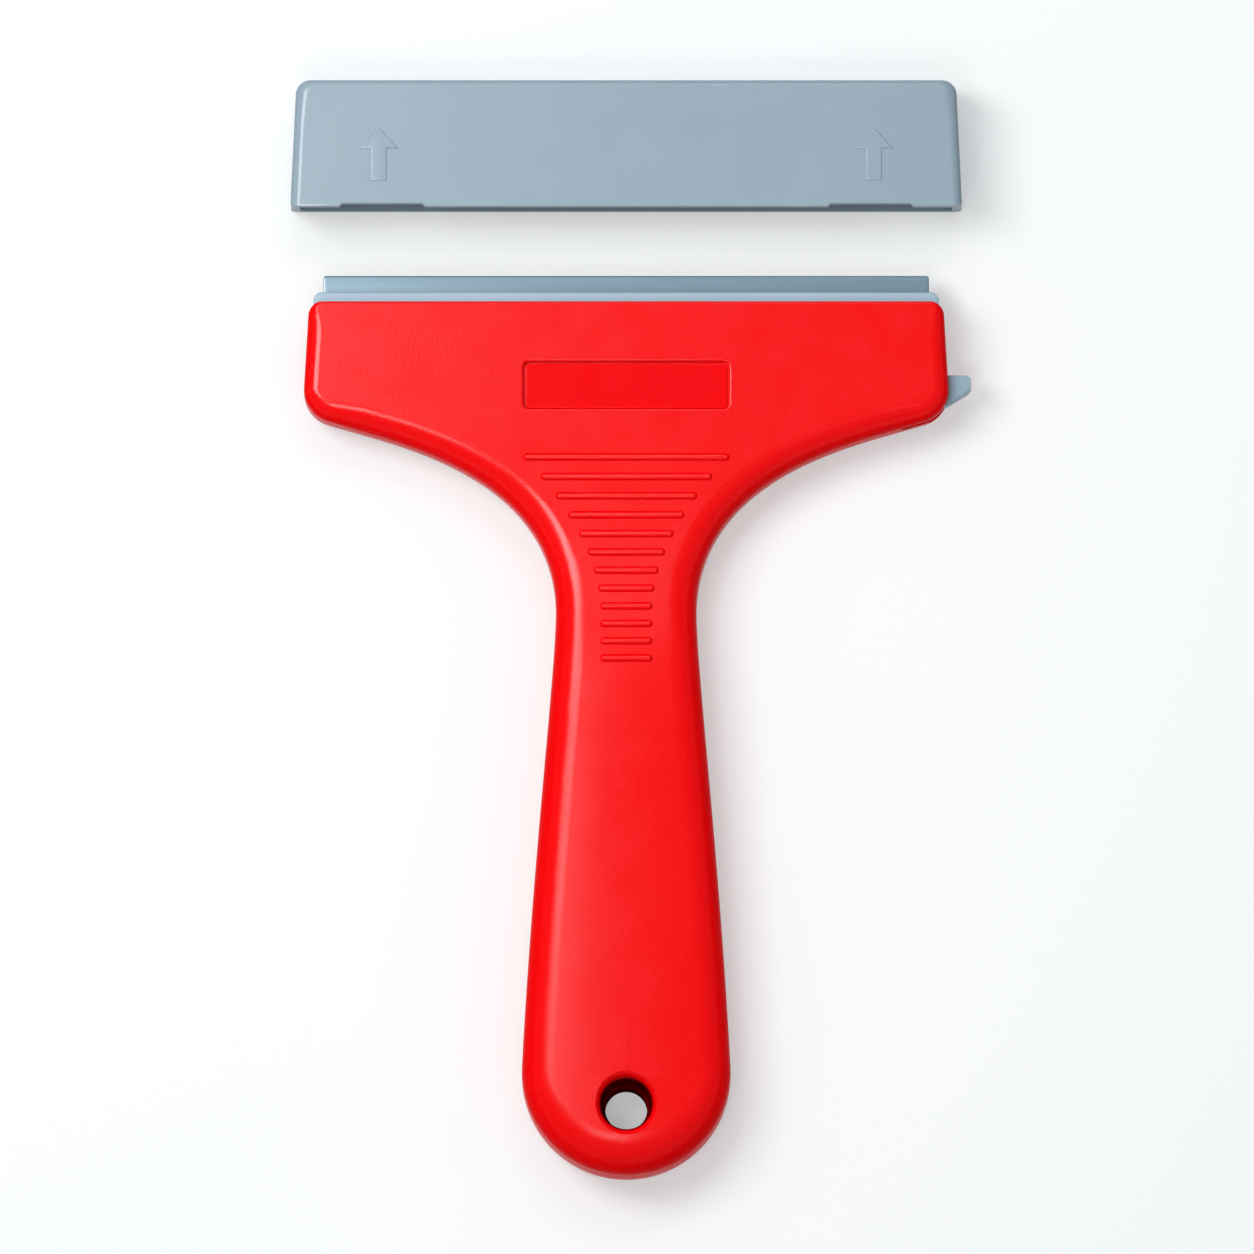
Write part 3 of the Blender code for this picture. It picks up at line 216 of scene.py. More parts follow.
# Blade guard
GUARD_MOUTH = 69.9
GUARD_TOP = 91.0
GUARD_HALF = 55.45
GUARD_TAPER = 1.0
GUARD_DEPTH = 15.0
GUARD_WALL = 1.6
GUARD_CORNER = 2.3
GUARD_INSIDE_CORNER = 0.6
GUARD_ROUND = 2.0
GUARD_END_SHARE = 0.5
GUARD_MOUTH_SHARE = 0.45
GUARD_BACK_SHORTER = 0.8
GUARD_STOP_X = 25.0
GUARD_STOP_HALF = 0.8
GUARD_STOP_FROM = 79.7
GUARD_STOP_GAP = 0.6
NOTCH_X = 40.3
NOTCH_HALF = 7.0
NOTCH_DEPTH = 0.5
ARROW_X = 40.85
ARROW_FROM_MOUTH = 4.3
ARROW_LENGTH = 8.8
ARROW_HEAD = 3.5
ARROW_HALF = 3.3
ARROW_SHAFT_HALF = 1.35

# Sloped rims, each as steps of (inwards, down or up)
MOUTH_RIM = ((0.3, 0.06), (0.06, 0.06), (0.03, 0.1))
ARROW_RIM = ((0.12, 0.15), (0.22, 0.05))
LABEL_RIM = ((0.12, 0.01), (0.14, 0.04), (0.08, 0.08), (0.03, 0.1))

# Label field and its inlay
LABEL_HALF = (17.35, 4.3)
LABEL_Y = 40.5
LABEL_FLOOR = 11.9
LABEL_CORNER = 1.3
INLAY_GAP = (0.68, 0.56)
INLAY_LOWER = 0.12
INLAY_CORNER = 0.8
INLAY_HEIGHTS = (0.05, 0.45)
INLAY_ROUND = 0.2

# Hanging hole, whose front mouth lies a little higher up than its back
HOLE_Y = -79.0
HOLE_FRONT_Y = HOLE_Y + 0.3
HOLE_FRONT = 4.25
HOLE_BACK = 3.45
HOLE_SEAM_STEP = 0.4
HOLE_STRAIGHT = 1.5
HOLE_FRONT_LIP = 1.05
HOLE_BACK_LIP = 0.6
HOLE_LIP_START = math.radians(30.0)
HOLE_LIP_STEPS = 8

# Grip ribs, which flare from the short ones to the long one
RIB_COUNT = 12
RIB_RADIUS = 0.65
RIB_FIRST = 28.55
RIB_PITCH = 3.27
RIB_PITCH_LOSS = 0.0192
RIB_SHORT_HALF = 4.3
RIB_LONG_MORE = 12.7
RIB_FLARE_FROM = 2.55
RIB_FLARE_LENGTH = 26.0
RIB_FLARE_POWER = 1.9

# Shell screws
SCREW_HEAD = 2.5
SCREW_HEAD_HEIGHT = 1.5
SCREW_RIM = 0.55
SCREW_DOME = (0.9, 0.5)
SCREW_DOME_STEPS = 6
SCREW_SHANK = 1.25
SCREW_TIP = ((0.9, 11.05), (SCREW_SHANK, 10.6))
SCREW_HOLE_END = 11.35
SCREW_RECESS = 2.2
SCREW_RECESS_EASE = 0.35
CROSS_HALF = (1.3, 0.3)
CROSS_DEPTH = 0.8
CROSS_TAPER = 0.75
SCREWS = {
    "shell_screw_head_left": (-36.0, 36.0),
    "shell_screw_head_middle": (-11.01, 31.0),
    "shell_screw_head_right": (11.01, 31.0),
    "shell_screw_neck": (0.0, 12.0),
    "shell_screw_handle_upper": (0.0, -30.0),
    "shell_screw_handle_lower": (0.0, -62.0),
}

# Sides of round pieces, and the angles in degrees that count as an edge
ROUND_SEGMENTS = 48
FINE_SEGMENTS = 64
FLAT_ANGLE = 0.05
SHARP_ANGLE = 32.0
BLADE_SHARP_ANGLE = 12.0
RIM_ANGLE = 60.0

# Noise scales of the moulded finishes, and where the head's shine gives way to the handle's
GRAIN = 2400.0
PATCHES = 160.0
HANDLE_DULLS = (-10.0, 15.0)

# Table and lamps in metres, each lamp's tilt in degrees to +X and +Y, its size and its level
TABLE_HALF = 3.0
TABLE_COLOUR = (0.56, 0.575, 0.576, 1.0)
TABLE_GLOW = 0.38
ROOM_COLOUR = (0.93, 0.97, 1.0, 1.0)
ROOM_LEVEL = 0.4
HORIZON = (0.05, 0.45)
HORIZON_LEVELS = (1.0, 0.04)
LAMP_DISTANCE = 0.7
LAMPS = {
    "key_softbox": ((-24.3, 13.0), (0.24, 0.37), 0.52),
    "top_softbox": ((0.0, 31.0), (0.3, 0.16), 0.1),
    "fill_softbox": ((-6.0, -15.5), (0.15, 0.15), 0.12),
}
CAMERA_LEAN = math.radians(6.0)
CAMERA_DISTANCE = 6000.0
CAMERA_AIM = (0.13, 0.33, HEAD_FRONT)
PICTURE_WIDTH = 206.7
SENSOR_WIDTH = 36.0


# Shaping


def smooth_step(value):
    value = min(1.0, max(0.0, value))
    return value * value * (3.0 - 2.0 * value)


def mix(first, last, share):
    return first + (last - first) * share


def grown(y, start, length):
    """A share that grows smoothly from 0 to 1 on the way down the handle."""
    return smooth_step((start - y) / length)


def front_face(x, y):
    """Height of the body's front face, which rises to the handle and is crowned there."""
    crown = grown(y, *CROWN_RISE) / HANDLE_CROWN
    return HEAD_FRONT + (HANDLE_FRONT - HEAD_FRONT) * grown(y, *FRONT_RISE) - 0.5 * crown * x * x


def back_face(x, y):
    """Height of the body's flat back, which drops from the head to the table."""
    return HEAD_BACK * (1.0 - grown(y, *BACK_DROP))


def arc(centre, radius, start, end, steps):
    turns = [start + (end - start) * i / steps for i in range(steps + 1)]
    return [(centre[0] + radius * math.cos(a), centre[1] + radius * math.sin(a)) for a in turns]


def rounded_corner(before, corner, after, radius, steps):
    """The arc in place of the corner between two straight edges."""
    to_before = (Vector(before) - Vector(corner)).normalized()
    to_after = (Vector(after) - Vector(corner)).normalized()
    half = 0.5 * to_before.angle(to_after)
    centre = Vector(corner) + (to_before + to_after).normalized() * (radius / math.sin(half))
    first = Vector(corner) + to_before * (radius / math.tan(half)) - centre
    last = Vector(corner) + to_after * (radius / math.tan(half)) - centre
    start = math.atan2(first.y, first.x)
    return arc(centre, radius, start, start - first.angle_signed(last), steps)


def rounded_outline(corners):
    """A closed outline from its corners, each (spot, radius, steps)."""
    spots = [spot for spot, _, _ in corners]
    points = []
    for i, (spot, radius, steps) in enumerate(corners):
        points.extend(rounded_corner(spots[i - 1], spot, spots[(i + 1) % len(spots)], radius, steps))
    return points


def rounded_rectangle(half_x, half_y, centre_y, radius, steps):
    corners = [(half_x, -half_y), (half_x, half_y), (-half_x, half_y), (-half_x, -half_y)]
    return [(x, y + centre_y) for x, y in rounded_outline([(spot, radius, steps) for spot in corners])]


def both_sides(right, between=()):
    """An outline from its right side, going up, with its mirror image at the left."""
    return [*right, *between, *((-x, y) for x, y in reversed(right))]


def bend(start, start_pull, end_pull, end, steps):
    """A curve between two points, drawn towards the two middle ones."""
    points = []
    for i in range(1, steps + 1):
        t = i / steps
        weights = ((1 - t) ** 3, 3 * (1 - t) ** 2 * t, 3 * (1 - t) * t * t, t**3)
        spots = (start, start_pull, end_pull, end)
        points.append(tuple(sum(w * p[axis] for w, p in zip(weights, spots)) for axis in (0, 1)))
    return points


def with_rounding(points, first, last, start=0):
    """The points as (x, y, rounding), with a rounding that changes smoothly along them."""
    steps = len(points) - 1 + start
    return [(*spot, mix(first, last, smooth_step(i / steps))) for i, spot in enumerate(points, start)]


def half_outline(detail):
    """Right half of the body's outline from the top corner to the lower end, as (x, y, rounding)."""
    shoulder = (HEAD_HALF + HEAD_SPREAD, HEAD_TOP - HEAD_SIDE)
    slant = (shoulder[0] - SLANT_LENGTH * math.cos(SLANT), shoulder[1] - SLANT_LENGTH * math.sin(SLANT))
    corner = (HEAD_HALF, HEAD_TOP)
    top = rounded_corner((0.0, HEAD_TOP), corner, shoulder, TOP_CORNER, CORNER_STEPS * detail)
    lower = rounded_corner(corner, shoulder, slant, LOWER_CORNER, CORNER_STEPS * detail)
    rows = with_rounding(top, ROUND_TOP, ROUND_CORNER)
    for share in SIDE_ROWS:
        spot = [mix(top[-1][axis], lower[0][axis], share) for axis in (0, 1)]
        rows.append((*spot, mix(ROUND_CORNER, ROUND_SIDE, smooth_step(share / SIDE_ROUND_FROM))))
    rows += with_rounding(lower, ROUND_SIDE, ROUND_LOWER)
    rows.append((*slant, ROUND_SLANT))
    pull = (slant[0] - SLANT_PULL * math.cos(SLANT), slant[1] - SLANT_PULL * math.sin(SLANT))
    neck = (NECK_HALF, NECK)
    curve = bend(slant, pull, (NECK_HALF, NECK + NECK_PULL_UP), neck, NECK_STEPS * detail)
    rows += with_rounding(curve, ROUND_SLANT, ROUND_HANDLE, 1)
    end = arc((0.0, BODY_END + END_RADIUS), END_RADIUS, END_TAPER, -0.5 * math.pi, HANDLE_STEPS * detail)
    pull = (end[0][0] - HANDLE_PULL * math.sin(END_TAPER), end[0][1] + HANDLE_PULL * math.cos(END_TAPER))
    handle = bend(neck, (NECK_HALF, NECK - NECK_PULL_DOWN), pull, end[0], HANDLE_STEPS * detail)
    rows += with_rounding(handle, ROUND_HANDLE, ROUND_HANDLE)
    return rows + with_rounding(end[1:], ROUND_HANDLE, ROUND_END, 1)


def with_normals(rows):
    """Each outline row as (x, y, normal x, normal y, rounding), the normal pointing outwards."""
    spots = [(0.0, HEAD_TOP)] + [row[:2] for row in rows] + [(-rows[-2][0], rows[-2][1])]
    result = [(0.0, HEAD_TOP, 0.0, 1.0, ROUND_TOP)]
    for i, (x, y, rounding) in enumerate(rows, 1):
        along = (Vector(spots[i + 1]) - Vector(spots[i - 1])).normalized()
        result.append((x, y, -along.y, along.x, rounding))
    result[1] = (*result[1][:2], 0.0, 1.0, ROUND_TOP)
    result[-1] = (0.0, result[-1][1], 0.0, -1.0, result[-1][4])
    return result


def limit_rounding(rows):
    """The rows, with each rounding ending no higher up the face than that of the row before."""
    limited = []
    last_y = rows[0][1] + OVERRUN
    for x, y, nx, ny, rounding in rows:
        if ny < 0.0:
            rounding = min(rounding, (last_y - LEAST_STEP - y) / -ny)
        last_y = y - ny * rounding
        limited.append((x, y, nx, ny, rounding))
    return limited


def inner_rows(rows, top_y):
    """The outline moved in by the side wall, closed by a straight edge at top_y."""
    moved = []
    for x, y, nx, ny, rounding in rows:
        inner = max(rounding - SIDE_WALL, LEAST_ROUND)
        moved.append((x - nx * SIDE_WALL, y - ny * SIDE_WALL, nx, ny, inner))
    kept = [row for row in moved[2:] if row[1] < top_y - OVERLAP]
    side_x = kept[0][0]
    start = [(0.0, top_y, 0.0, 1.0, kept[0][4]), (side_x, top_y, 1.0, 1.0, kept[0][4])]
    return start + kept[:-1] + [(0.0, kept[-1][1], 0.0, -1.0, kept[-1][4])]


def pull_on(bm, chain, spots):
    """Extrudes a chain of vertices to new spots, and returns the new chain."""
    edges = [bm.edges.get(pair) for pair in zip(chain, chain[1:])]
    made = bmesh.ops.extrude_edge_only(bm, edges=edges)["geom"]
    fresh = {part for part in made if isinstance(part, bmesh.types.BMVert)}
    follow = []
    for vert, spot in zip(chain, spots):
        new = next(e.other_vert(vert) for e in vert.link_edges if e.other_vert(vert) in fresh)
        new.co = spot
        follow.append(new)
    return follow


def section(row, base, face, side, most_drop, steps, seam):
    """Half a section of the body: along the base, up the side, round the edge and over the face."""
    x, y, nx, ny, rounding = row
    drop = min(rounding, most_drop, abs(face(x, y) - base) - LEAST_SIDE)
    foot = (max(0.0, x - nx * seam), y - ny * seam, base)
    spots = [(0.0, foot[1], base), foot]
    if seam > 0.0:
        spots.append((x, y, base + side * seam))
    for i in range(steps + 1):
        turn = 0.5 * math.pi * i / steps
        reach = rounding * (1.0 - math.cos(turn))
        spot_x = max(0.0, x - nx * reach)
        spot_y = y - ny * reach
        low = drop * (1.0 - math.sin(turn))
        spots.append((spot_x, spot_y, face(spot_x, spot_y) - side * low))
    edge_x, edge_y, _ = spots[-1]
    return spots + [(edge_x * share, edge_y, face(edge_x * share, edge_y)) for share in FACE_COLUMNS]


def body_form(rows, base, face, side, rounding, seam):
    """A closed form between a flat base and a face, drawn as one section pulled down the outline."""
    bm = bmesh.new()
    first, *rest = limit_rounding(rows)
    chain = [bm.verts.new(spot) for spot in section(first, base, face, side, *rounding, seam)]
    for pair in zip(chain, chain[1:]):
        bm.edges.new(pair)
    for row in rest:
        chain = pull_on(bm, chain, section(row, base, face, side, *rounding, seam))
    bmesh.ops.remove_doubles(bm, verts=bm.verts, dist=MERGE)
    bmesh.ops.dissolve_degenerate(bm, edges=bm.edges, dist=MERGE)
    bmesh.ops.mirror(bm, geom=bm.verts[:] + bm.edges[:] + bm.faces[:], merge_dist=MERGE, axis="X")
    on_plane = [f for f in bm.faces if all(abs(v.co.x) < TINY for v in f.verts)]
    bmesh.ops.delete(bm, geom=on_plane, context="FACES_ONLY")
    bmesh.ops.triangulate(bm, faces=[f for f in bm.faces if len(f.verts) > 3])
    return bm


def put_in_scene(name, data):
    """A new object at the origin that holds the data."""
    made = bpy.data.objects.new(name, data)
    bpy.context.scene.collection.objects.link(made)
    return made


def new_object(name, bm):
    """The mesh as an object at the origin, scaled from millimetres to metres in its vertices."""
    bmesh.ops.recalc_face_normals(bm, faces=bm.faces)
    bmesh.ops.scale(bm, vec=(MM, MM, MM), verts=bm.verts)
    mesh = bpy.data.meshes.new(name)
    bm.to_mesh(mesh)
    bm.free()
    return put_in_scene(name, mesh)


def evaluated_mesh(piece):
    """The mesh that a piece's modifiers, or a curve's bevel, make of it."""
    graph = bpy.context.evaluated_depsgraph_get()
    return bpy.data.meshes.new_from_object(piece.evaluated_get(graph))


def apply_modifiers(piece):
    plain = piece.data
    piece.data = evaluated_mesh(piece)
    piece.modifiers.clear()
    bpy.data.meshes.remove(plain)


def carve(piece, tool_bm, operation="DIFFERENCE"):
    """Cuts a tool out of the piece, or joins it on, and takes the tool away again."""
    tool = new_object(piece.name + "_tool", tool_bm)
    modifier = piece.modifiers.new("carve", "BOOLEAN")
    modifier.operation = operation
    modifier.solver = "MANIFOLD"
    modifier.object = tool
    apply_modifiers(piece)
    bpy.data.objects.remove(tool, do_unlink=True)


def join_on(piece, tool_bm):
    carve(piece, tool_bm, "UNION")


def finish_piece(piece, body, material, nodes, sharp=SHARP_ANGLE):
    """Shading, material and place in the frame of a finished piece."""
    mesh = piece.data
    bm = bmesh.new()
    bm.from_mesh(mesh)
    bmesh.ops.dissolve_limit(bm, angle_limit=math.radians(FLAT_ANGLE), verts=bm.verts, edges=bm.edges)
    bm.to_mesh(mesh)
    bm.free()
    mesh.materials.clear()
    mesh.materials.append(material)
    mesh.shade_smooth()
    mesh.set_sharp_from_angle(angle=math.radians(sharp))
    even = piece.modifiers.new("even_shading", "WEIGHTED_NORMAL")
    even.keep_sharp = True
    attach(piece, body)
    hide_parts(*nodes)


def step_face(bm, face, inward, rise):
    """Insets a flat face and moves it up or down, which leaves a sloped rim."""
    bm.normal_update()
    bmesh.ops.inset_region(bm, faces=[face], thickness=inward, use_even_offset=True)
    bmesh.ops.translate(bm, verts=face.verts, vec=(0.0, 0.0, rise))


def pull_face(bm, face, rise, sideways=0.0):
    """Extrudes a flat face up, down or along X, and returns the new face."""
    has_walls = any(len(edge.link_faces) > 1 for edge in face.edges)
    made = bmesh.ops.extrude_face_region(bm, geom=[face])["geom"]
    if has_walls:
        bmesh.ops.delete(bm, geom=[face], context="FACES_ONLY")
    moved = [part for part in made if isinstance(part, bmesh.types.BMVert)]
    bmesh.ops.translate(bm, verts=moved, vec=(sideways, 0.0, rise))
    return next(part for part in made if isinstance(part, bmesh.types.BMFace))


def new_face(bm, outline, height):
    return bm.faces.new([bm.verts.new((x, y, height)) for x, y in outline])


def flat_form(outline, low, high):
    """A straight-walled form: a face drawn round the outline and extruded up."""
    bm = bmesh.new()
    pull_face(bm, new_face(bm, outline, low), high - low)
    return bm


def pocket(outline, top, floor, rim):
    """A cutter for a pocket with a rim of steps at its top, each (inwards, down)."""
    bm = bmesh.new()
    face = pull_face(bm, new_face(bm, outline, top + OVERRUN), -OVERRUN)
    for inwards, down in rim:
        step_face(bm, face, inwards, -down)
    pull_face(bm, face, floor - top + sum(down for _, down in rim))
    return bm


def box_form(low, high):
    bm = bmesh.new()
    place = Matrix.Translation([0.5 * (a + b) for a, b in zip(low, high)])
    size = Matrix.Diagonal([*(b - a for a, b in zip(low, high)), 1.0])
    bmesh.ops.create_cube(bm, size=1.0, matrix=place @ size)
    return bm


def bars_form(bars, segments=32):
    """Separate round bars along Z, each (x, y, low, high, radius)."""
    bm = bmesh.new()
    for x, y, low, high, radius in bars:
        place = Matrix.Translation((x, y, 0.5 * (low + high)))
        size = {"radius1": radius, "radius2": radius, "depth": high - low}
        bmesh.ops.create_cone(bm, cap_ends=True, segments=segments, matrix=place, **size)
    return bm


def turned_form(profile, x, y, segments=FINE_SEGMENTS):
    """A turned form: a profile of (radius, height) from axis to axis, spun full circle."""
    bm = bmesh.new()
    verts = [bm.verts.new((radius, 0.0, height)) for radius, height in profile]
    edges = [bm.edges.new(pair) for pair in zip(verts, verts[1:])]
    circle = {"cent": (0, 0, 0), "axis": (0, 0, 1), "angle": 2.0 * math.pi, "steps": segments}
    bmesh.ops.spin(bm, geom=verts + edges, use_merge=True, **circle)
    bmesh.ops.remove_doubles(bm, verts=bm.verts, dist=TINY)
    bmesh.ops.translate(bm, verts=bm.verts, vec=(x, y, 0.0))
    return bm


def round_off(bm, parts, offset, segments, affect="EDGES"):
    """Rounds edges, or in plan the corners of a flat face."""
    clamp = affect == "EDGES"
    size = {"offset": offset, "offset_type": "OFFSET", "segments": segments, "profile": 0.5}
    bmesh.ops.bevel(bm, geom=parts, affect=affect, clamp_overlap=clamp, material=-1, **size)


def is_level(edge):
    return abs(edge.verts[0].co.z - edge.verts[1].co.z) < MERGE


def rim_edges(bm, has_end=lambda vert: True):
    """Edges where two faces meet nearly square, both of whose ends pass the test."""
    found = [e for e in bm.edges if len(e.link_faces) == 2 and all(map(has_end, e.verts))]
    return [e for e in found if e.calc_face_angle() > math.radians(RIM_ANGLE)]


# Materials


def feed(socket, value):
    """Links an output to a socket, or sets the socket to a value."""
    if isinstance(value, bpy.types.NodeSocket):
        socket.id_data.links.new(value, socket)
    else:
        socket.default_value = value


def add_node(tree, kind, *values, **settings):
    """A new shader node, with its first inputs fed in their order."""
    made = tree.nodes.new("ShaderNode" + kind)
    for name, setting in settings.items():
        setattr(made, name, setting)
    for socket, value in zip(made.inputs, values):
        feed(socket, value)
    return made


def reckon(tree, operation, *values):
    """The result of one sum on numbers or outputs, kept between 0 and 1."""
    return add_node(tree, "Math", *values, operation=operation, use_clamp=True).outputs[0]


def carry_over(tree, value, before, after):
    """A value carried over from one range to another."""
    return add_node(tree, "MapRange", value, *before, *after).outputs["Result"]


class Finish:
    """A named material whose nodes are added one after another."""

    noise_range = (0.3, 0.7)
    facing_range = (0.06, 0.3)

    def __init__(self, name, colour, roughness, metallic=0.0):
        self.material = bpy.data.materials.new(name)
        self.material.use_nodes = True
        self.tree = self.material.node_tree
        self.inputs = self.tree.nodes["Principled BSDF"].inputs
        self.inputs["Base Color"].default_value = (*colour, 1.0)
        self.inputs["Roughness"].default_value = roughness
        self.inputs["Metallic"].default_value = metallic
        self.place = add_node(self.tree, "TexCoord").outputs["Object"]

    def noise(self, scale, detail=2.0, stretch=None):
        place = self.place
        if stretch:
            mapping = add_node(self.tree, "Mapping", place)
            feed(mapping.inputs["Scale"], stretch)
            place = mapping.outputs["Vector"]
        return add_node(self.tree, "TexNoise", place, 0.0, scale, detail).outputs["Fac"]

    def along_y(self, first, last):
        """A value that changes from the handle's to the head's over the stretch between them."""
        height = add_node(self.tree, "SeparateXYZ", self.place).outputs["Y"]
        return carry_over(self.tree, height, [MM * y for y in HANDLE_DULLS], (first, last))

    def around(self, x, y, inner, outer):
        """1 within the inner radius of an upright axis, and 0 beyond the outer one."""
        flat = (self.place, (1.0, 1.0, 0.0), (-x * MM, -y * MM, 0.0))
        spot = add_node(self.tree, "VectorMath", *flat, operation="MULTIPLY_ADD").outputs[0]
        radius = add_node(self.tree, "VectorMath", spot, operation="LENGTH").outputs["Value"]
        return carry_over(self.tree, radius, (inner * MM, outer * MM), (1.0, 0.0))

    def gloss(self, level, edge, share=1.0):
        """The shine of a surface seen straight on, which fades to a faint one towards its edges."""
        facing = add_node(self.tree, "LayerWeight", 0.5).outputs["Facing"]
        shine = carry_over(self.tree, facing, self.facing_range, (level, edge))
        feed(self.inputs["Specular IOR Level"], reckon(self.tree, "MULTIPLY", shine, share))

    def colours(self, value, first, second):
        ramp = add_node(self.tree, "ValToRGB", value)
        for stop, position, colour in zip(ramp.color_ramp.elements, self.noise_range, (first, second)):
            stop.position = position
            stop.color = (*colour, 1.0)
        feed(self.inputs["Base Color"], ramp.outputs["Color"])
        return ramp.outputs["Color"]

    def shade(self, colour, share, dark):
        """Paints shade onto a colour: turns it into a dark one by a share of 0 to 1."""
        blend = add_node(self.tree, "Mix", share, data_type="RGBA")
        feed(blend.inputs[6], colour)
        feed(blend.inputs[7], (*dark, 1.0))
        feed(self.inputs["Base Color"], blend.outputs[2])

    def rough(self, value, low, high, more=0.0):
        level = carry_over(self.tree, value, self.noise_range, (low, high))
        feed(self.inputs["Roughness"], reckon(self.tree, "ADD", level, more))

    def bump(self, height, strength, distance):
        made = add_node(self.tree, "Bump", strength, distance * MM)
        feed(made.inputs["Height"], height)
        feed(self.inputs["Normal"], made.outputs["Normal"])


def moulded_red():
    """Satin red plastic with a fine grain, duller on the handle, and with painted shade in the hanging
    hole: its wall is darkened and its shine taken away.
    """
    finish = Finish("red_plastic", (0.93, 0.002, 0.004), 0.22)
    # Painted shade: a mask over the hanging hole's wall, which takes the shine away there and darkens the
    # colour below.
    bore = finish.around(0.0, HOLE_Y + 0.15, HOLE_FRONT + 0.05, HOLE_FRONT + 0.25)
    finish.gloss(0.375, 0.01, reckon(finish.tree, "SUBTRACT", finish.along_y(0.63, 1.0), bore))
    base = finish.colours(finish.noise(GRAIN), (0.88, 0.0, 0.0005), (0.92, 0.004, 0.006))
    # Painted shade: the grained red is turned dark red inside the hanging hole.
    finish.shade(base, bore, (0.16, 0.0, 0.0))
    finish.rough(finish.noise(PATCHES), 0.19, 0.22, finish.along_y(0.035, 0.0))
    finish.bump(finish.noise(GRAIN, 1.0), 0.7, 0.018)
    return finish.material


def glossy_red():
    """The smooth label inlay, a little deeper in colour."""
    finish = Finish("label_red", (0.86, 0.002, 0.005), 0.15)
    finish.gloss(0.2, 0.001)
    finish.colours(finish.noise(90.0), (0.84, 0.002, 0.0045), (0.87, 0.0025, 0.0055))
    finish.rough(finish.noise(300.0), 0.14, 0.17)
    finish.bump(finish.noise(900.0), 0.1, 0.01)
    return finish.material


def moulded_grey(name, light, dark):
    """Satin blue-grey plastic."""
    finish = Finish(name, light, 0.24)
    finish.gloss(0.5, 0.02)
    finish.colours(finish.noise(45.0), dark, light)
    finish.rough(finish.noise(PATCHES), 0.22, 0.26)
    finish.bump(finish.noise(GRAIN, 1.0), 0.4, 0.01)
    return finish.material


def blade_metal():
    """Ground steel, brushed along the blade."""
    finish = Finish("blade_steel", (0.228, 0.342, 0.42), 0.25, 0.35)
    finish.gloss(0.8, 0.02)
    brushed = finish.noise(900.0, 3.0, (0.02, 1.0, 1.0))
    finish.colours(brushed, (0.218, 0.332, 0.41), (0.238, 0.352, 0.43))
    finish.rough(brushed, 0.24, 0.27)
    finish.bump(brushed, 0.05, 0.005)
    return finish.material


def screw_metal():
    """Plain turned steel of the screws, pins, studs and spring."""
    finish = Finish("screw_steel", (0.55, 0.56, 0.58), 0.35, 1.0)
    finish.colours(finish.noise(300.0), (0.5, 0.51, 0.53), (0.6, 0.61, 0.63))
    finish.rough(finish.noise(800.0), 0.28, 0.42)
    finish.bump(finish.noise(1500.0), 0.15, 0.01)
    return finish.material


RED = moulded_red()
LABEL = glossy_red()
GUARD = moulded_grey("guard_grey", (0.297, 0.392, 0.457), (0.285, 0.375, 0.44))
CARRIER = moulded_grey("carrier_grey", (0.384, 0.528, 0.624), (0.365, 0.51, 0.605))
LEVER_GREY = moulded_grey("lever_grey", (0.3, 0.42, 0.5), (0.29, 0.405, 0.48))
STEEL = blade_metal()
SCREW = screw_metal()


# Body shells


def rib_form():
    """The grip ribs: half-sunk bars with round ends, each shorter than the one above it."""
    bm = bmesh.new()
    turn = Matrix.Rotation(0.5 * math.pi, 4, "Y")
    for i in range(RIB_COUNT):
        y = RIB_FIRST - RIB_PITCH * i + RIB_PITCH_LOSS * i * i
        flare = max(0.0, (y - RIB_FLARE_FROM) / RIB_FLARE_LENGTH) ** RIB_FLARE_POWER
        stretch = RIB_SHORT_HALF + RIB_LONG_MORE * flare - RIB_RADIUS
        ball = bmesh.ops.create_uvsphere(bm, u_segments=24, v_segments=16, radius=RIB_RADIUS, matrix=turn)
        for vert in ball["verts"]:
            if abs(vert.co.x) > MERGE:
                vert.co.x += math.copysign(stretch, vert.co.x)
            vert.co.y += y
            vert.co.z += front_face(0.0, y)
    return bm


def cut_openings(shell):
    """The mouth, a seat for the lip over a slot for the jaws, and the lever's slot, taller at the tab."""
    low = BACK_JAW[0] - SEAT
    high = FRONT_JAW[1] + SEAT
    seat = LIP_LOW - SEAT
    lip_room = (LIP_HALF, seat, HEAD_TOP + OVERRUN)
    jaw_room = (JAW_HALF, seat - HEAD_WEB - OVERRUN, seat + OVERRUN)
    for half, start, end in (lip_room, jaw_room):
        carve(shell, box_form((-half - SEAT, start, low), (half + SEAT, end, high)))
    far = 2.0 * HEAD_HALF
    top = TAB_TOP + SLOT_ROOM
    start = LEVER[0] + SLOT_START
    outside = [(far, SLOT_LOW_OUTSIDE), (far, top)]
    arm = [(start, SLOT_ARM_LOW[0]), (SLOT_TURN, SLOT_ARM_LOW[1]), *outside, (start, top)]
    carve(shell, flat_form(arm, LEVER_FLAT[0] - RUNNING, LEVER_FLAT[1] + RUNNING))
    tab = [(JAW_HALF - OVERLAP, SLOT_TAB_LOW), *outside, (JAW_HALF - OVERLAP, top)]
    carve(shell, flat_form(tab, TAB_LOW_Z - RUNNING, LEVER_FLAT[1] + RUNNING))


def hollow_shell(name, rows, base, face, side, rounding):
    """Half of the body, hollow within its face wall and side wall."""
    shell = new_object(name, body_form(rows, base, face, side, rounding, SEAM_ROUND))
    inside = inner_rows(with_normals(half_outline(1)), LIP_LOW - SEAT - HEAD_WEB)
    if side < 0:
        inside = [(*row[:4], min(row[4], ROUND_INSIDE_BACK)) for row in inside]

    def inner_face(x, y):
        return face(x, y) - side * FACE_WALL

    carve(shell, body_form(inside, base - side * OVERRUN, inner_face, side, INSIDE_DROP, 0.0))
    return shell


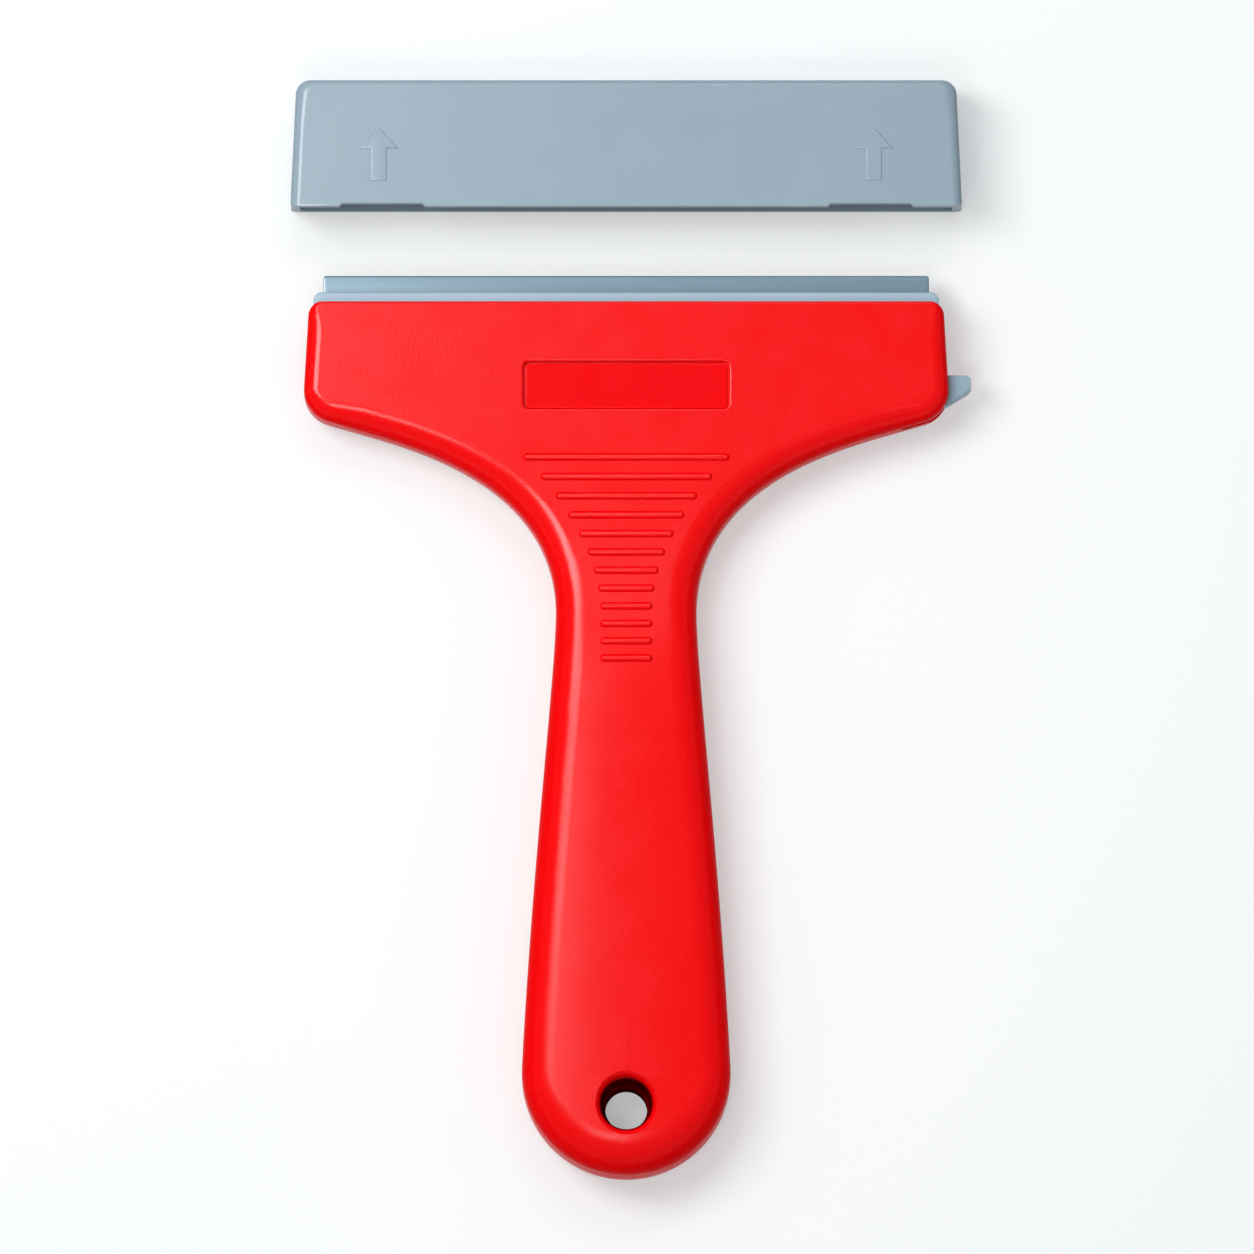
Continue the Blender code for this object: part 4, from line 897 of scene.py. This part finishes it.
def hole_mouth(radius, face, side, lip, y):
    """A cutter for the rounded mouth of a hole."""
    profile = [(0.0, face + side * lip), (radius + lip, face + side * lip)]
    first = HOLE_LIP_START
    curve = lip / (1.0 - math.sin(first))
    for i in range(HOLE_LIP_STEPS + 1):
        turn = first + (0.5 * math.pi - first) * i / HOLE_LIP_STEPS
        depth = curve * (math.cos(first) - math.cos(turn))
        profile.append((radius + curve * (1.0 - math.sin(turn)), face - side * depth))
    profile.append((0.0, face - side * curve * math.cos(first)))
    return turned_form(profile, 0.0, y)


def screw_bars(ends, radius):
    """A bar at each shell screw, between the two heights that ends gives for its place."""
    return [(x, y, *ends(x, y), radius) for x, y in SCREWS.values()]


def front_shell():
    rows = with_normals(half_outline(3))
    shell = hollow_shell("front_shell_red", rows, FRONT_PARTING, front_face, 1.0, FRONT_DROP)
    outer = SCREW_SHANK + SCREW_POST_WALL
    posts = screw_bars(lambda x, y: (FRONT_PARTING, front_face(0.0, y) - POST_SINK), outer)
    posts.append((*LEVER, LEVER_FLAT[1] + SEAT, HEAD_FRONT - POST_SINK, LEVER_HUB))
    tube = HOLE_FRONT + HOLE_TUBE_WALL
    posts.append((0.0, HOLE_Y, FRONT_PARTING, front_face(0.0, HOLE_Y) - POST_SINK, tube))
    join_on(shell, bars_form(posts))
    join_on(shell, rib_form())
    cut_openings(shell)
    holes = screw_bars(lambda x, y: (FRONT_PARTING - OVERRUN, SCREW_HOLE_END), SCREW_SHANK + RUNNING)
    holes.append((*LEVER, LEVER_FLAT[1] - OVERRUN, HEAD_FRONT - FACE_WALL + SEAT, LEVER_PIN + RUNNING))
    carve(shell, bars_form(holes))
    low = FRONT_PARTING - OVERRUN
    high = HANDLE_FRONT + OVERRUN
    narrow = HOLE_BACK + HOLE_SEAM_STEP
    bore = [(0.0, low), (narrow, low), (narrow, FRONT_PARTING)]
    bore += [(HOLE_FRONT, HANDLE_FRONT - HOLE_STRAIGHT), (HOLE_FRONT, high), (0.0, high)]
    carve(shell, turned_form(bore, 0.0, HOLE_FRONT_Y))
    carve(shell, hole_mouth(HOLE_FRONT, HANDLE_FRONT, 1.0, HOLE_FRONT_LIP, HOLE_FRONT_Y))
    field = rounded_rectangle(*LABEL_HALF, LABEL_Y, LABEL_CORNER, 8)
    carve(shell, pocket(field, HEAD_FRONT, LABEL_FLOOR, LABEL_RIM))
    finish_piece(shell, "body", RED, ["front_shell"])


def rear_shell():
    rows = [(*row[:4], min(row[4], ROUND_BACK)) for row in with_normals(half_outline(3))]
    shell = hollow_shell("rear_shell_red", rows, BACK_PARTING, back_face, -1.0, BACK_RISE)
    outer = SCREW_HEAD + RUNNING
    posts = screw_bars(lambda x, y: (back_face(x, y) + POST_SINK, BACK_PARTING), outer)
    lever_post = (HEAD_BACK + POST_SINK, LEVER_FLAT[0] - SEAT)
    posts.append((*LEVER, *lever_post, SPRING_BOSS))
    posts.append((*SPRING_POST, *lever_post, SPRING_POST_RADIUS))
    tube = HOLE_FRONT + HOLE_TUBE_WALL
    posts.append((0.0, HOLE_Y, back_face(0.0, HOLE_Y) + POST_SINK, BACK_PARTING, tube))
    join_on(shell, bars_form(posts))
    cut_openings(shell)
    open_top = BACK_PARTING + OVERRUN
    holes = [(*LEVER, HEAD_BACK + FACE_WALL - SEAT, open_top, LEVER_PIN + RUNNING)]
    holes += screw_bars(lambda x, y: (back_face(x, y), open_top), SCREW_SHANK + RUNNING)
    carve(shell, bars_form(holes))
    carve(shell, bars_form([(0.0, HOLE_Y, -OVERRUN, open_top, HOLE_BACK)], FINE_SEGMENTS))
    carve(shell, hole_mouth(HOLE_BACK, 0.0, -1.0, HOLE_BACK_LIP, HOLE_Y))
    for x, y in SCREWS.values():
        back = back_face(x, y)
        eased = outer + SCREW_RECESS_EASE
        deep = back + SCREW_RECESS
        profile = [(0.0, deep), (outer, deep), (outer, back + SCREW_RECESS_EASE), (eased, back)]
        profile += [(eased, back - OVERRUN), (0.0, back - OVERRUN)]
        carve(shell, turned_form(profile, x, y, ROUND_SEGMENTS))
    finish_piece(shell, "body", RED, ["rear_shell"])


def label_plate():
    """The bare inlay: a thin plate with softly rounded edges."""
    half = [size - gap for size, gap in zip(LABEL_HALF, INLAY_GAP)]
    outline = rounded_rectangle(*half, LABEL_Y - INLAY_LOWER, INLAY_CORNER, 8)
    low, high = (LABEL_FLOOR + height for height in INLAY_HEIGHTS)
    bm = flat_form(outline, low, high)
    round_off(bm, rim_edges(bm, lambda vert: vert.co.z > high - MERGE), INLAY_ROUND, 4)
    finish_piece(new_object("label_inlay", bm), "body", LABEL, ["label_plate"])


# Carrier and blade


def stud_holes(low, high):
    return bars_form([(x, STUD_Y, low, high, STUD_RADIUS + RUNNING) for x in STUD_X])


def add_tongue(jaw_piece, low):
    """The tongue that the lever drives, with the slot for its pin."""
    sides = (DRIVE[0] + TONGUE_HALF, DRIVE[0] - TONGUE_HALF)
    root = JAW_LOW + TONGUE_OVERLAP
    tongue = [(sides[0], TONGUE_END), (sides[0], root), (sides[1], root), (sides[1], TONGUE_END)]
    join_on(jaw_piece, flat_form(tongue, low, low + TONGUE_THICKNESS))
    slot = rounded_rectangle(*TONGUE_SLOT_HALF, 0.0, TONGUE_SLOT_CORNER, 10)
    slot = [(x + DRIVE[0], y + DRIVE[1]) for x, y in slot]
    carve(jaw_piece, flat_form(slot, low - OVERRUN, low + TONGUE_THICKNESS + OVERRUN))


def jaw(name, node, low, high, lip_edge_z):
    """A jaw of the blade carrier: a wide lip with rounded corners over a narrower plate."""
    bm = bmesh.new()
    right = [(JAW_HALF, JAW_LOW), (JAW_HALF, LIP_LOW), (LIP_HALF, LIP_LOW), (LIP_HALF, LIP_TOP)]
    new_face(bm, both_sides(right), low)
    round_off(bm, [v for v in bm.verts if v.co.y > LIP_TOP - MERGE], LIP_CORNER, 10, "VERTICES")
    pull_face(bm, bm.faces[:][0], high - low)
    bmesh.ops.recalc_face_normals(bm, faces=bm.faces)

    def on_lip(vert):
        return abs(vert.co.z - lip_edge_z) < MERGE and vert.co.y > LIP_LOW - MERGE

    round_off(bm, rim_edges(bm, on_lip), LIP_ROUND, 5)
    piece = new_object(name, bm)
    if node == "rear_jaw":
        add_tongue(piece, low)
        carve(piece, stud_holes(high - STUD_BITE, high + OVERRUN))
    else:
        carve(piece, stud_holes(low - OVERRUN, low + STUD_BITE))
    finish_piece(piece, "carrier", CARRIER, [node])


def blade():
    """The blade: a flat strip with three holes, lapped and ground at its front edge."""
    half = 0.5 * BLADE_THICKNESS
    section_front = [(BLADE_LOW, half), (BLADE_LAP, half)]
    section_front += [(BLADE_TOP - BLADE_GRIND, half - BLADE_LAP_LOSS), (BLADE_TOP, BLADE_EDGE_HALF)]
    outline = section_front + [(y, -z) for y, z in reversed(section_front)]
    ends = [(-BLADE_HALF + inwards, shorter) for inwards, shorter in BLADE_ENDS]
    ends += [(-x, shorter) for x, shorter in reversed(ends)]
    bm = bmesh.new()
    face = bm.faces.new([bm.verts.new((ends[0][0], y, MIDDLE + z)) for y, z in outline])
    for (last_x, _), (x, _) in zip(ends, ends[1:]):
        face = pull_face(bm, face, 0.0, x - last_x)
    pivot = Matrix.Translation((0.0, -BLADE_LOW, -MIDDLE))
    for x, shorter in ends:
        ring = [v for v in bm.verts if abs(v.co.x - x) < TINY]
        length = 1.0 - shorter / (BLADE_TOP - BLADE_LOW)
        thickness = 1.0 - BLADE_END_THINNER * shorter / ends[0][1]
        bmesh.ops.scale(bm, vec=(1.0, length, thickness), verts=ring, space=pivot)
    piece = new_object("blade_strip", bm)
    carve(piece, stud_holes(MIDDLE - OVERRUN, MIDDLE + OVERRUN))
    finish_piece(piece, "carrier", STEEL, ["blade"], BLADE_SHARP_ANGLE)


def pin(name, node, body, x, y, low, high, radius):
    bm = bars_form([(x, y, low, high, radius)], ROUND_SEGMENTS)
    round_off(bm, rim_edges(bm), PIN_ROUND, 2)
    finish_piece(new_object(name, bm), body, SCREW, [node])


# Lever


def lever_arms(piece):
    """The inner arm to the drive pin, and the outer arm to the tab."""
    along = Vector((DRIVE[0] - LEVER[0], DRIVE[1] - LEVER[1])).normalized()
    across = Vector((-along.y, along.x)) * LEVER_ARM_HALF
    turn = math.atan2(along.y, along.x)
    inner = [(LEVER[0] - across.x, LEVER[1] - across.y), (LEVER[0] + across.x, LEVER[1] + across.y)]
    inner += arc(DRIVE, LEVER_ARM_HALF, turn + 0.5 * math.pi, turn - 0.5 * math.pi, 12)
    join_on(piece, flat_form(inner, *LEVER_FLAT))
    low = TAB_LOW + RUNNING
    far = TAB_ROOT + TAB_ROOT_DEPTH
    outer = [(LEVER[0], LEVER[1] - LEVER_HEEL), (TAB_ROOT, low), (far, low)]
    outer += [(far, LEVER_TOP_EDGE[1]), (LEVER[0], LEVER_TOP_EDGE[0])]
    join_on(piece, flat_form(outer, *LEVER_FLAT))


def thumb_tab():
    """The tab, with a facet on its lower front corner and rounded edges."""
    tab = flat_form(rounded_outline(TAB_CORNERS), TAB_LOW_Z, LEVER_FLAT[1])
    whole = tab.verts[:] + tab.edges[:] + tab.faces[:]
    facet = {"plane_co": TAB_FACET_SPOT, "plane_no": Vector(TAB_FACET).normalized()}
    cut = bmesh.ops.bisect_plane(tab, geom=whole, clear_outer=True, **facet)["geom_cut"]
    bmesh.ops.holes_fill(tab, edges=[part for part in cut if isinstance(part, bmesh.types.BMEdge)])
    bmesh.ops.recalc_face_normals(tab, faces=tab.faces)
    round_off(tab, [e for e in rim_edges(tab) if is_level(e)], TAB_ROUND, 4)
    return tab


def lever():
    """The release lever: hub, arms and the thumb tab."""
    piece = new_object("lever_grey", bars_form([(*LEVER, *LEVER_FLAT, LEVER_HUB)], ROUND_SEGMENTS))
    lever_arms(piece)
    join_on(piece, thumb_tab())
    low = LEVER_FLAT[0] - OVERRUN
    bores = [(*LEVER, low, LEVER_FLAT[1] + OVERRUN, LEVER_PIN + RUNNING)]
    bores.append((*DRIVE, low, LEVER_FLAT[1] - DRIVE_PIN_COVER, DRIVE_PIN + RUNNING))
    carve(piece, bars_form(bores, ROUND_SEGMENTS))
    finish_piece(piece, "lever", LEVER_GREY, ["release_lever"])


def spring_path():
    """The spring's middle line: a still leg, the coil, the arm's leg and its hook."""
    points = [(LEVER[0] - SPRING_LEG, LEVER[1] - SPRING_RADIUS, SPRING_LOW)]
    for i in range(SPRING_STEPS + 1):
        turn = -0.5 * math.pi + (2.0 * math.pi * SPRING_TURNS + SPRING_ARM_TURN) * i / SPRING_STEPS
        x = LEVER[0] + SPRING_RADIUS * math.cos(turn)
        y = LEVER[1] + SPRING_RADIUS * math.sin(turn)
        points.append((x, y, SPRING_LOW + SPRING_HEIGHT * i / SPRING_STEPS))
    x, y, z = points[-1]
    tip = (x + SPRING_ARM_LEG * math.cos(SPRING_ARM_TURN), y + SPRING_ARM_LEG * math.sin(SPRING_ARM_TURN))
    return points + [(*tip, z), (*tip, SPRING_HOOK_TOP)]


def lever_spring():
    """The torsion spring: a wire coil round the rear boss, with a leg at each end."""
    points = spring_path()
    curve = bpy.data.curves.new("lever_spring_wire", "CURVE")
    curve.dimensions = "3D"
    curve.bevel_depth = SPRING_WIRE * MM
    curve.bevel_resolution = 4
    curve.use_fill_caps = True
    spline = curve.splines.new("POLY")
    spline.points.add(len(points) - 1)
    for point, spot in zip(spline.points, points):
        point.co = (*(MM * value for value in spot), 1.0)
    curve.materials.append(SCREW)
    path = put_in_scene("lever_spring_path", curve)
    wire = put_in_scene("lever_spring_wire", evaluated_mesh(path))
    bpy.data.objects.remove(path, do_unlink=True)
    wire.data.shade_smooth()
    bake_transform(wire)
    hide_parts("lever_spring")


def screw(node, x, y):
    """A shell screw: a low domed head with a cross recess, and a plain shank."""
    seat = back_face(x, y) + SCREW_RECESS - RUNNING
    face = seat - SCREW_HEAD_HEIGHT
    rim = face + SCREW_RIM
    profile = [(0.0, SCREW_TIP[0][1]), *SCREW_TIP, (SCREW_SHANK, seat)]
    profile += [(SCREW_HEAD, seat), (SCREW_HEAD, rim)]
    width, height = SCREW_DOME
    for i in range(1, SCREW_DOME_STEPS + 1):
        turn = 0.5 * math.pi * i / SCREW_DOME_STEPS
        profile.append((SCREW_HEAD - width + width * math.cos(turn), rim - height * math.sin(turn)))
    profile.append((0.0, face))
    name = node.replace("shell_screw", "cross_screw")
    piece = new_object(name, turned_form(profile, x, y, ROUND_SEGMENTS))
    for half_x, half_y in (CROSS_HALF, CROSS_HALF[::-1]):
        low = (x - half_x, y - half_y, face - OVERRUN)
        bm = box_form(low, (x + half_x, y + half_y, face + CROSS_DEPTH))
        top = [v for v in bm.verts if v.co.z > face]
        middle = Matrix.Translation((-x, -y, 0.0))
        bmesh.ops.scale(bm, vec=(CROSS_TAPER, CROSS_TAPER, 1.0), verts=top, space=middle)
        carve(piece, bm)
    finish_piece(piece, "body", SCREW, [node])


# Guard


def guard_half(y):
    return GUARD_HALF - GUARD_TAPER * (y - GUARD_MOUTH) / (GUARD_TOP - GUARD_MOUTH)


def guard_form(inset, mouth_y, top_y, low, high, corner):
    """A tapered slab, rounded in plan at its closed end."""
    bm = bmesh.new()
    mouth = guard_half(mouth_y) - inset
    top = guard_half(top_y) - inset
    new_face(bm, ((-mouth, mouth_y), (mouth, mouth_y), (top, top_y), (-top, top_y)), low)
    round_off(bm, [v for v in bm.verts if v.co.y > top_y - MERGE], corner, 12, "VERTICES")
    pull_face(bm, bm.faces[:][0], high - low)
    return bm


def guard_outside():
    """The outer form: wide rounded sides, a tighter closed end and eased mouth corners."""
    bm = guard_form(0.0, GUARD_MOUTH, GUARD_TOP, 0.0, GUARD_DEPTH, GUARD_CORNER)
    bmesh.ops.recalc_face_normals(bm, faces=bm.faces)
    weights = bm.edges.layers.float.new("bevel_weight_edge")
    for edge in bm.edges:
        at_mouth = 0.5 * (edge.verts[0].co.y + edge.verts[1].co.y) < GUARD_MOUTH + MERGE
        if edge.calc_face_angle() < math.radians(RIM_ANGLE) or (is_level(edge) and at_mouth):
            continue
        if is_level(edge):
            along = (edge.verts[1].co - edge.verts[0].co).normalized()
            edge[weights] = mix(GUARD_END_SHARE, 1.0, abs(along.y))
        elif at_mouth:
            edge[weights] = GUARD_MOUTH_SHARE
    cover = new_object("guard_cover", bm)
    rounding = cover.modifiers.new("edges", "BEVEL")
    rounding.limit_method = "WEIGHT"
    rounding.width = GUARD_ROUND * MM
    rounding.segments = 8
    apply_modifiers(cover)
    return cover


def arrow_form(centre):
    """A raised arrow with eased edges, pointing away from the blade."""
    foot = GUARD_MOUTH + ARROW_FROM_MOUTH
    tip = foot + ARROW_LENGTH
    neck = tip - ARROW_HEAD
    right = [(ARROW_SHAFT_HALF, foot), (ARROW_SHAFT_HALF, neck), (ARROW_HALF, neck)]
    outline = [(centre + x, y) for x, y in both_sides(right, [(0.0, tip)])]
    bm = bmesh.new()
    face = pull_face(bm, new_face(bm, outline, GUARD_DEPTH - OVERLAP), OVERLAP)
    for inwards, up in ARROW_RIM:
        step_face(bm, face, inwards, up)
    return bm


def mouth_edge():
    """The outline cut away in front of the guard's front wall, with its two notches."""
    shallow = GUARD_MOUTH + sum(inwards for inwards, _ in MOUTH_RIM)
    deep = shallow + NOTCH_DEPTH
    far = GUARD_HALF + 2.0 * OVERRUN
    near = NOTCH_X - NOTCH_HALF
    away = NOTCH_X + NOTCH_HALF
    ease = 0.5 * NOTCH_DEPTH
    right = [(near - ease, shallow), (near + ease, deep), (away - ease, deep), (away + ease, shallow)]
    right += [(far, shallow), (far, GUARD_MOUTH - 2.0 * OVERRUN)]
    return pocket(both_sides(right), GUARD_DEPTH, GUARD_DEPTH - GUARD_WALL - OVERLAP, MOUTH_RIM)


def add_stops(guard, inner_top, low, high):
    """The ribs inside the closed end that stop the guard on the lip."""
    back = (low - OVERLAP, BACK_JAW[0] - GUARD_STOP_GAP)
    front = (FRONT_JAW[1] + GUARD_STOP_GAP, high + OVERLAP)
    for x in (-GUARD_STOP_X, GUARD_STOP_X):
        for foot, tip in (back, front):
            start = (x - GUARD_STOP_HALF, GUARD_STOP_FROM, foot)
            join_on(guard, box_form(start, (x + GUARD_STOP_HALF, inner_top + OVERLAP, tip)))


def blade_guard():
    guard = guard_outside()
    low = GUARD_WALL
    high = GUARD_DEPTH - GUARD_WALL
    inner_top = GUARD_TOP - GUARD_WALL
    outside = GUARD_MOUTH - OVERRUN
    carve(guard, guard_form(GUARD_WALL, outside, inner_top, low, high, GUARD_INSIDE_CORNER))
    add_stops(guard, inner_top, low, high)
    wide = GUARD_HALF + OVERRUN
    carve(guard, box_form((-wide, outside, -OVERRUN), (wide, GUARD_MOUTH + GUARD_BACK_SHORTER, MIDDLE)))
    carve(guard, mouth_edge())
    for x in (-ARROW_X, ARROW_X):
        join_on(guard, arrow_form(x))
    finish_piece(guard, "guard", GUARD, ["blade_guard"])


front_shell()
rear_shell()
label_plate()
jaw("front_jaw_lip", "front_jaw", *FRONT_JAW, FRONT_JAW[1])
jaw("rear_jaw_lip", "rear_jaw", *BACK_JAW, BACK_JAW[0])
blade()
stud_ends = (BACK_JAW[1] - STUD_BITE + SEAT, FRONT_JAW[0] + STUD_BITE - SEAT)
for side, stud_x in zip(("left", "middle", "right"), STUD_X):
    pin("stud_" + side, "blade_stud_" + side, "carrier", stud_x, STUD_Y, *stud_ends, STUD_RADIUS)
pin("pivot_pin", "lever_pin", "body", *LEVER, HEAD_BACK + FACE_WALL, HEAD_FRONT - FACE_WALL, LEVER_PIN)
drive_pin_ends = (BACK_JAW[0] + SEAT, LEVER_FLAT[1] - DRIVE_PIN_COVER - SEAT)
pin("link_pin", "drive_pin", "lever", *DRIVE, *drive_pin_ends, DRIVE_PIN)
lever()
lever_spring()
for screw_node, (screw_x, screw_y) in SCREWS.items():
    screw(screw_node, screw_x, screw_y)
blade_guard()


# Table, lights and camera


def seen_or_mirrored(tree):
    """1 for the camera's own rays and for those in reflections or through glass, else 0."""
    rays = add_node(tree, "LightPath").outputs
    mirrored = reckon(tree, "MAXIMUM", rays["Is Glossy Ray"], rays["Is Transmission Ray"])
    return reckon(tree, "MAXIMUM", rays["Is Camera Ray"], mirrored)


def white_table():
    """A white table that keeps shadows, and is plain white to the camera and in reflections."""
    bm = bmesh.new()
    bmesh.ops.create_grid(bm, x_segments=1, y_segments=1, size=TABLE_HALF)
    mesh = bpy.data.meshes.new("table_top")
    bm.to_mesh(mesh)
    bm.free()
    table = put_in_scene("table_top", mesh)
    material = bpy.data.materials.new("table_white")
    material.use_nodes = True
    tree = material.node_tree
    tree.nodes.remove(tree.nodes["Principled BSDF"])
    matt = add_node(tree, "BsdfDiffuse", TABLE_COLOUR)
    glow = add_node(tree, "Emission")
    feed(glow.inputs["Strength"], reckon(tree, "MULTIPLY", seen_or_mirrored(tree), TABLE_GLOW))
    both = add_node(tree, "AddShader", matt.outputs[0], glow.outputs[0])
    feed(tree.nodes["Material Output"].inputs["Surface"], both.outputs[0])
    mesh.materials.append(material)


def softbox(name, tilt, size, level):
    """A rectangular lamp over the scraper that by itself lights a white surface to that level."""
    lean_x, lean_y = (math.tan(math.radians(angle)) for angle in tilt)
    direction = Vector((lean_x, lean_y, 1.0)).normalized()
    data = bpy.data.lights.new(name, "AREA")
    data.shape = "RECTANGLE"
    data.size, data.size_y = size
    data.energy = level * math.pi**2 * LAMP_DISTANCE**2 / direction.z
    lamp = put_in_scene(name, data)
    lamp.location = direction * LAMP_DISTANCE
    lamp.rotation_euler = direction.to_track_quat("Z", "Y").to_euler()


def white_room():
    """A soft white room that looks plain white, and whose reflection darkens overhead."""
    world = bpy.data.worlds.new("white_room")
    bpy.context.scene.world = world
    world.use_nodes = True
    tree = world.node_tree
    room = tree.nodes["Background"]
    room.inputs["Color"].default_value = ROOM_COLOUR
    room.inputs["Strength"].default_value = ROOM_LEVEL
    direction = add_node(tree, "SeparateXYZ", add_node(tree, "TexCoord").outputs["Generated"])
    mirrored = carry_over(tree, direction.outputs["Z"], HORIZON, HORIZON_LEVELS)
    seen = add_node(tree, "LightPath").outputs["Is Camera Ray"]
    white = add_node(tree, "Background")
    feed(white.inputs["Strength"], reckon(tree, "MAXIMUM", seen, mirrored))
    choice = add_node(tree, "MixShader", seen_or_mirrored(tree), room.outputs[0], white.outputs[0])
    feed(tree.nodes["World Output"].inputs["Surface"], choice.outputs[0])


def camera():
    """A long lens straight over the scraper, leaning six degrees towards the handle."""
    data = bpy.data.cameras.new("front_camera")
    data.lens = SENSOR_WIDTH * CAMERA_DISTANCE / PICTURE_WIDTH
    eye = put_in_scene("front_camera", data)
    away = Vector((0.0, -math.sin(CAMERA_LEAN), math.cos(CAMERA_LEAN)))
    eye.location = MM * (Vector(CAMERA_AIM) + away * CAMERA_DISTANCE)
    eye.rotation_euler = (CAMERA_LEAN, 0.0, 0.0)
    bpy.context.scene.camera = eye


white_table()
white_room()
for lamp_name, lamp_settings in LAMPS.items():
    softbox(lamp_name, *lamp_settings)
camera()
bpy.context.scene.view_settings.view_transform = "Standard"


def plain(box):
    return [[float(value) for value in corner] for corner in box]
